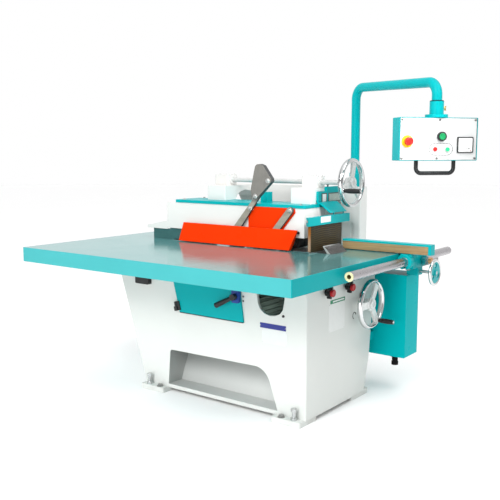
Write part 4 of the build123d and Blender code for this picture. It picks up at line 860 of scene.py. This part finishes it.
slab(bm, MB, [(pv[0] - 0.7 * s, pv[1] + 0.7 * c), (pv[0] + 0.7 * s, pv[1] - 0.7 * c), (pv[0] + 38 * c + 0.3 * s, pv[1] + 38 * s - 0.3 * c),
              (pv[0] + 38 * c - 0.3 * s, pv[1] + 38 * s + 0.3 * c)], 0.8, 1.2)
lathe(bm, MB, [(3.6, 0.5), (3.6, 1.4), (2.8, 1.8), (0.0, 1.9)], 30, pv[0], pv[1])
to_object("meter_needle", bm, BLACK_INK, "pendant")
bm = bmesh.new()
lathe(bm, MB, [(2.6, 0.4), (2.6, 1.2), (2.0, 1.8), (0.0, 2.0)], 24, 30.0, -29.0)
to_object("meter_zero_screw", bm, print_look("meter_red", (0.30, 0.015, 0.015), 0.35), "pendant")

# --- plates on the base ----------------------------------------------------------------
SB = basis(W(378, 362, 487), (-1, 0, 0))
BLUE = print_look("plate_blue", (0.022, 0.032, 0.23), 0.34, 0.05)
plate("base_plate_blue", SB, 163, 27, BLUE, "frame", 0.9, 3.0)
PALE = print_look("plate_pale", (0.70, 0.72, 0.715), 0.38, 0.02)
plate("base_plate_pale", SB, 157, 76, PALE, "frame", 0.8, 3.0, 10.0, -54.0)
bm = bmesh.new()
for a, b in ((-78, 0), (78, 0)):
    lathe(bm, SB, [(2.4, 0.8), (2.4, 1.3), (1.5, 1.9), (0.0, 2.1)], 18, a, b)
for a in (-64, 84):
    for b in (-88, -20):
        lathe(bm, SB, [(2.2, 0.7), (2.2, 1.2), (1.4, 1.8), (0.0, 2.0)], 18, a, b)
to_object("base_plate_rivets", bm, ZINC, "frame")

FBs = basis(W(683, 159, 600), (0, -1, 0))
GREEN = print_look("plate_green", (0.012, 0.22, 0.105), 0.36, 0.05)
SHEET = print_look("plate_sheet", (0.74, 0.755, 0.74), 0.40, 0.02)
plate("front_plate_green", FBs, 152, 20, GREEN, "frame", 0.8, 2.0)
plate("front_plate_header", FBs, 118, 8, SHEET, "frame", 0.4, 1.6, 8, 0, 0.75, 0.1)
plate("front_plate_sheet", FBs, 165, 150, SHEET, "frame", 0.7, 2.0, -8.5, -84.0, 0.0, 0.1)
bm = bmesh.new()
for a in (-86, 69):
    for b in (-154, -14):
        lathe(bm, FBs, [(2.2, 0.6), (2.2, 1.3), (1.4, 1.9), (0.0, 2.1)], 18, a, b)
to_object("front_plate_rivets", bm, ZINC, "frame")

bm = bmesh.new()
DB = basis(W(378, 552, 610), (-1, 0, 0))
lathe(bm, DB, [(5.2, 0.0), (5.2, 2.4), (4.0, 3.2), (0.0, 3.4)], 24, 0, 12)
lathe(bm, DB, [(5.2, 0.0), (5.2, 2.4), (4.0, 3.2), (0.0, 3.4)], 24, 0, -12)
to_object("door_stops", bm, DARK, "frame")
bm = bmesh.new()
SBo = basis(W(378, 297, 550), (-1, 0, 0))
cap_screw(bm, SBo, 0, 0, 6.5, 6.0)
cap_screw(bm, basis(W(830, 504, 922), (-1, 0, 0)), 0, 0, 8.5, 7.0)
to_object("side_screw", bm, DARK, "frame")

# --- guard lever bolts and pivot caps ------------------------------------------------------
bm = bmesh.new()
for y, z in ((776, 1122), (688, 1213)):
    hex_bolt(bm, basis(W(786, y, z), (-1, 0, 0)), 0, 0, 16.0, 6.5)
to_object("lever_bolts", bm, ZINC, "guard_arm")
bm = bmesh.new()
for y in (826, 548):
    B = basis(W(802.4, y, 1048), (-1, 0, 0))
    lathe(bm, B, [(14.0, 0.0), (14.0, 1.6), (12.6, 2.2), (0.0, 2.2)], 32)
    lathe(bm, B, [(9.6, 2.0), (9.6, 8.0), (8.0, 9.4), (3.2, 9.6), (0.0, 8.6)], 32)
to_object("guard_pivot_caps", bm, ZINC, "frame")

# --- painted cap screws on the two gearbox caps, studs on the hood's top plate ----------------
bm = bmesh.new()
for ya, yb in ((504.0, 606.0), (1158.0, 1264.0)):
    B = basis(W(1064, ya, 1236), (0, 0, 1), (0, 1, 0))
    for x in (-38, 38):
        for y in (16.0, yb - ya - 30.0):
            o = basis(W(1064 + x, ya + y, 1236), (0, 0, 1), (0, 1, 0))
            cap_screw(bm, o, 0, 0, 6.0, 5.0)
to_object("gearbox_screws", bm, painted("white_screw", WHITE, 0.36, 0.02, 0.08).done(0.0006), "frame")
bm = bmesh.new()
for x, y in ((846, 500), (846, 1377), (1040, 1377), (1040, 980)):
    hex_bolt(bm, basis(W(x, y, 1078), (0, 0, 1), (0, 1, 0)), 0, 0, 13.0, 5.5)
to_object("top_plate_bolts", bm, ZINC, "frame")

# --- scale plate: blank pale insert in a black frame, window, knob -------------------------------
QB = basis(W(1061, 477.5, 1111), (0, -1, 0))
plate("scale_frame", QB, 60, 54, BLACK_INK, "frame", 1.2, 3.0, 0, 0, 0.0, 0.3)
plate("scale_insert", QB, 42, 44, SHEET, "frame", 0.5, 2.0, 0, 0, 1.1, 0.1)
GB = basis(W(1184, 477.5, 1111), (0, -1, 0))
plate("indicator_frame", GB, 154, 54, print_look("frame_dark", (0.06, 0.075, 0.072), 0.45, 0.08), "frame", 1.6, 4.0, 0, 0, 0.0, 0.4)
plate("indicator_window", GB, 138, 42, print_look("window_grey", (0.36, 0.42, 0.38), 0.22, 0.06), "frame", 0.8, 3.0, 0, 0, 1.5, 0.2)
bm = bmesh.new()
for a, b in ((-71, 21), (71, 21), (-71, -21), (71, -21)):
    pan_screw(bm, GB, a, b, 2.6, 2.8, 0.4 + a * 0.01)
to_object("indicator_screws", bm, ZINC, "frame")
bm = bmesh.new()
lathe(bm, basis(W(1112, 485, 1174), (0, 0, 1), (0, 1, 0)), [(6.0, 0.0), (6.0, 2.0), (4.0, 3.0), (4.0, 7.0), (7.0, 8.5), (7.6, 11.5), (5.6, 14.5), (0.0, 15.5)], 28)
to_object("indicator_knob", bm, DARK, "frame")

# --- anchor bolts on the foot pads, direction mark beside the lower handwheel -------------------
bm = bmesh.new()
for x in (352, 1030):
    for y in (290, 1140):
        o = basis(W(x, y, 30), (0, 0, 1), (0, 1, 0))
        lathe(bm, o, [(19.0, 0.0), (19.0, 2.4), (18.2, 3.0), (0.0, 3.0)], 36)
        hex_bolt(bm, basis(W(x, y, 32.8), (0, 0, 1), (0, 1, 0)), 0, 0, 24.0, 11.0, False, 0.3)
to_object("anchor_bolts", bm, steel_look("anchor_steel", (0.30, 0.30, 0.29), 0.42, "z", 0.7, 0.12).done(0.0005), "frame")
AB = basis(W(866, 159, 486), (0, -1, 0))
bm = bmesh.new()
a0, a1 = math.radians(35), math.radians(255)
ring = [a0 + (a1 - a0) * k / 28 for k in range(29)]
outer = [(20.0 * math.cos(a), 20.0 * math.sin(a)) for a in ring]
inside = [(15.0 * math.cos(a), 15.0 * math.sin(a)) for a in ring]
slab(bm, AB, outer + inside[::-1], 0.0, 0.5)
h = Vector((17.5 * math.cos(a0), 17.5 * math.sin(a0)))
d = Vector((math.sin(a0), -math.cos(a0)))
n = Vector((math.cos(a0), math.sin(a0)))
slab(bm, AB, [tuple(h + d * 11.0), tuple(h + n * 7.0), tuple(h - n * 7.0)], 0.0, 0.5)
to_object("direction_mark", bm, BLACK_INK, "frame")

# ----------------------------------------------------------------------------
# floor, light, camera
# ----------------------------------------------------------------------------
bm = bmesh.new()
bmesh.ops.create_circle(bm, cap_ends=True, radius=30.0, segments=96)
me = bpy.data.meshes.new("floor")
bm.to_mesh(me)
bm.free()
floor = bpy.data.objects.new("floor", me)
floor.location = (0, 0, -0.0004)
scene.collection.objects.link(floor)
L = Look("floor_pale", (0.9, 0.9, 0.9), 0.6)
L.c = varied(L, (0.985, 0.985, 0.985), 0.004, 0.8)
L.r = L.remap(L.noise(2.0, 4.0), 0.3, 0.7, 0.55, 0.7)
me.materials.append(L.done(0.0, 0.2))

world = bpy.data.worlds.new("studio")
world.use_nodes = True
bg = world.node_tree.nodes.get("Background")
bg.inputs["Color"].default_value = (1.0, 1.0, 1.0, 1.0)
scene.world = world
# the room is brightest behind the machine and a little dimmer at the viewer's side
wn = world.node_tree
wt = wn.nodes.new("ShaderNodeTexCoord")
wd = wn.nodes.new("ShaderNodeVectorMath")
wd.operation = "DOT_PRODUCT"
wd.inputs[1].default_value = (0.80, 0.60, 0.0)
wn.links.new(wt.outputs["Generated"], wd.inputs[0])
wm = wn.nodes.new("ShaderNodeMapRange")
wm.interpolation_type = "SMOOTHSTEP"
wm.inputs["From Min"].default_value = -0.45
wm.inputs["From Max"].default_value = 0.55
wm.inputs["To Min"].default_value = 0.50
wm.inputs["To Max"].default_value = 1.0
wn.links.new(wd.outputs["Value"], wm.inputs["Value"])
wn.links.new(wm.outputs["Result"], bg.inputs["Strength"])


def area(name, loc, target, size, power, color=(1, 1, 1)):
    d = bpy.data.lights.new(name, "AREA")
    d.shape = "DISK"
    d.size = size
    d.energy = power
    d.color = color
    o = bpy.data.objects.new(name, d)
    o.location = loc
    o.rotation_euler = (Vector(target) - Vector(loc)).to_track_quat("-Z", "Y").to_euler()
    scene.collection.objects.link(o)
    return o


area("key", (-5.2, -0.6, 4.2), (0, 0, 0.7), 3.0, 240.0)
area("low_fill", (-5.6, -0.5, 0.9), (0, 0, 0.6), 2.4, 52.0)
area("high_fill", (0.2, -3.0, 5.2), (0, -0.1, 0.9), 2.6, 70.0)
pl = bpy.data.lights.new("base_lamp", "SPOT")
pl.spot_size = math.radians(46)
pl.spot_blend = 0.6
pl.energy = 13.0
pl.color = (1.0, 0.75, 0.53)
pl.shadow_soft_size = 0.12
po = bpy.data.objects.new("base_lamp", pl)
po.location = W(600, 430, 470)
po.rotation_euler = (Vector(W(840, 705, 468)) - Vector(W(600, 430, 470))).to_track_quat("-Z", "Y").to_euler()
scene.collection.objects.link(po)
hs = area("hood_box", (-0.25, -1.75, 1.95), (0.28, -0.25, 1.04), 0.5, 1.5)
hs.data.spread = math.radians(40)
sd = bpy.data.lights.new("overhead", "SUN")
sd.energy = 0.9
sd.angle = math.radians(70)
so = bpy.data.objects.new("overhead", sd)
so.location = (0, 0, 6)
so.rotation_euler = Vector((0.30, 0.12, -1.0)).to_track_quat("-Z", "Y").to_euler()
scene.collection.objects.link(so)

cam = bpy.data.cameras.new("camera")
cam.sensor_width = 36.0
cam.lens = 52.93
cam.clip_end = 200.0
co = bpy.data.objects.new("camera", cam)
co.location = (-3.334, -2.464, 1.366)
co.rotation_euler = (math.radians(82.54), 0.0, math.radians(-53.23))
scene.collection.objects.link(co)
scene.camera = co

scene.view_settings.view_transform = "Standard"
scene.view_settings.look = "None"
scene.view_settings.exposure = 0.0
scene.view_settings.gamma = 1.0

bpy.context.view_layer.update()
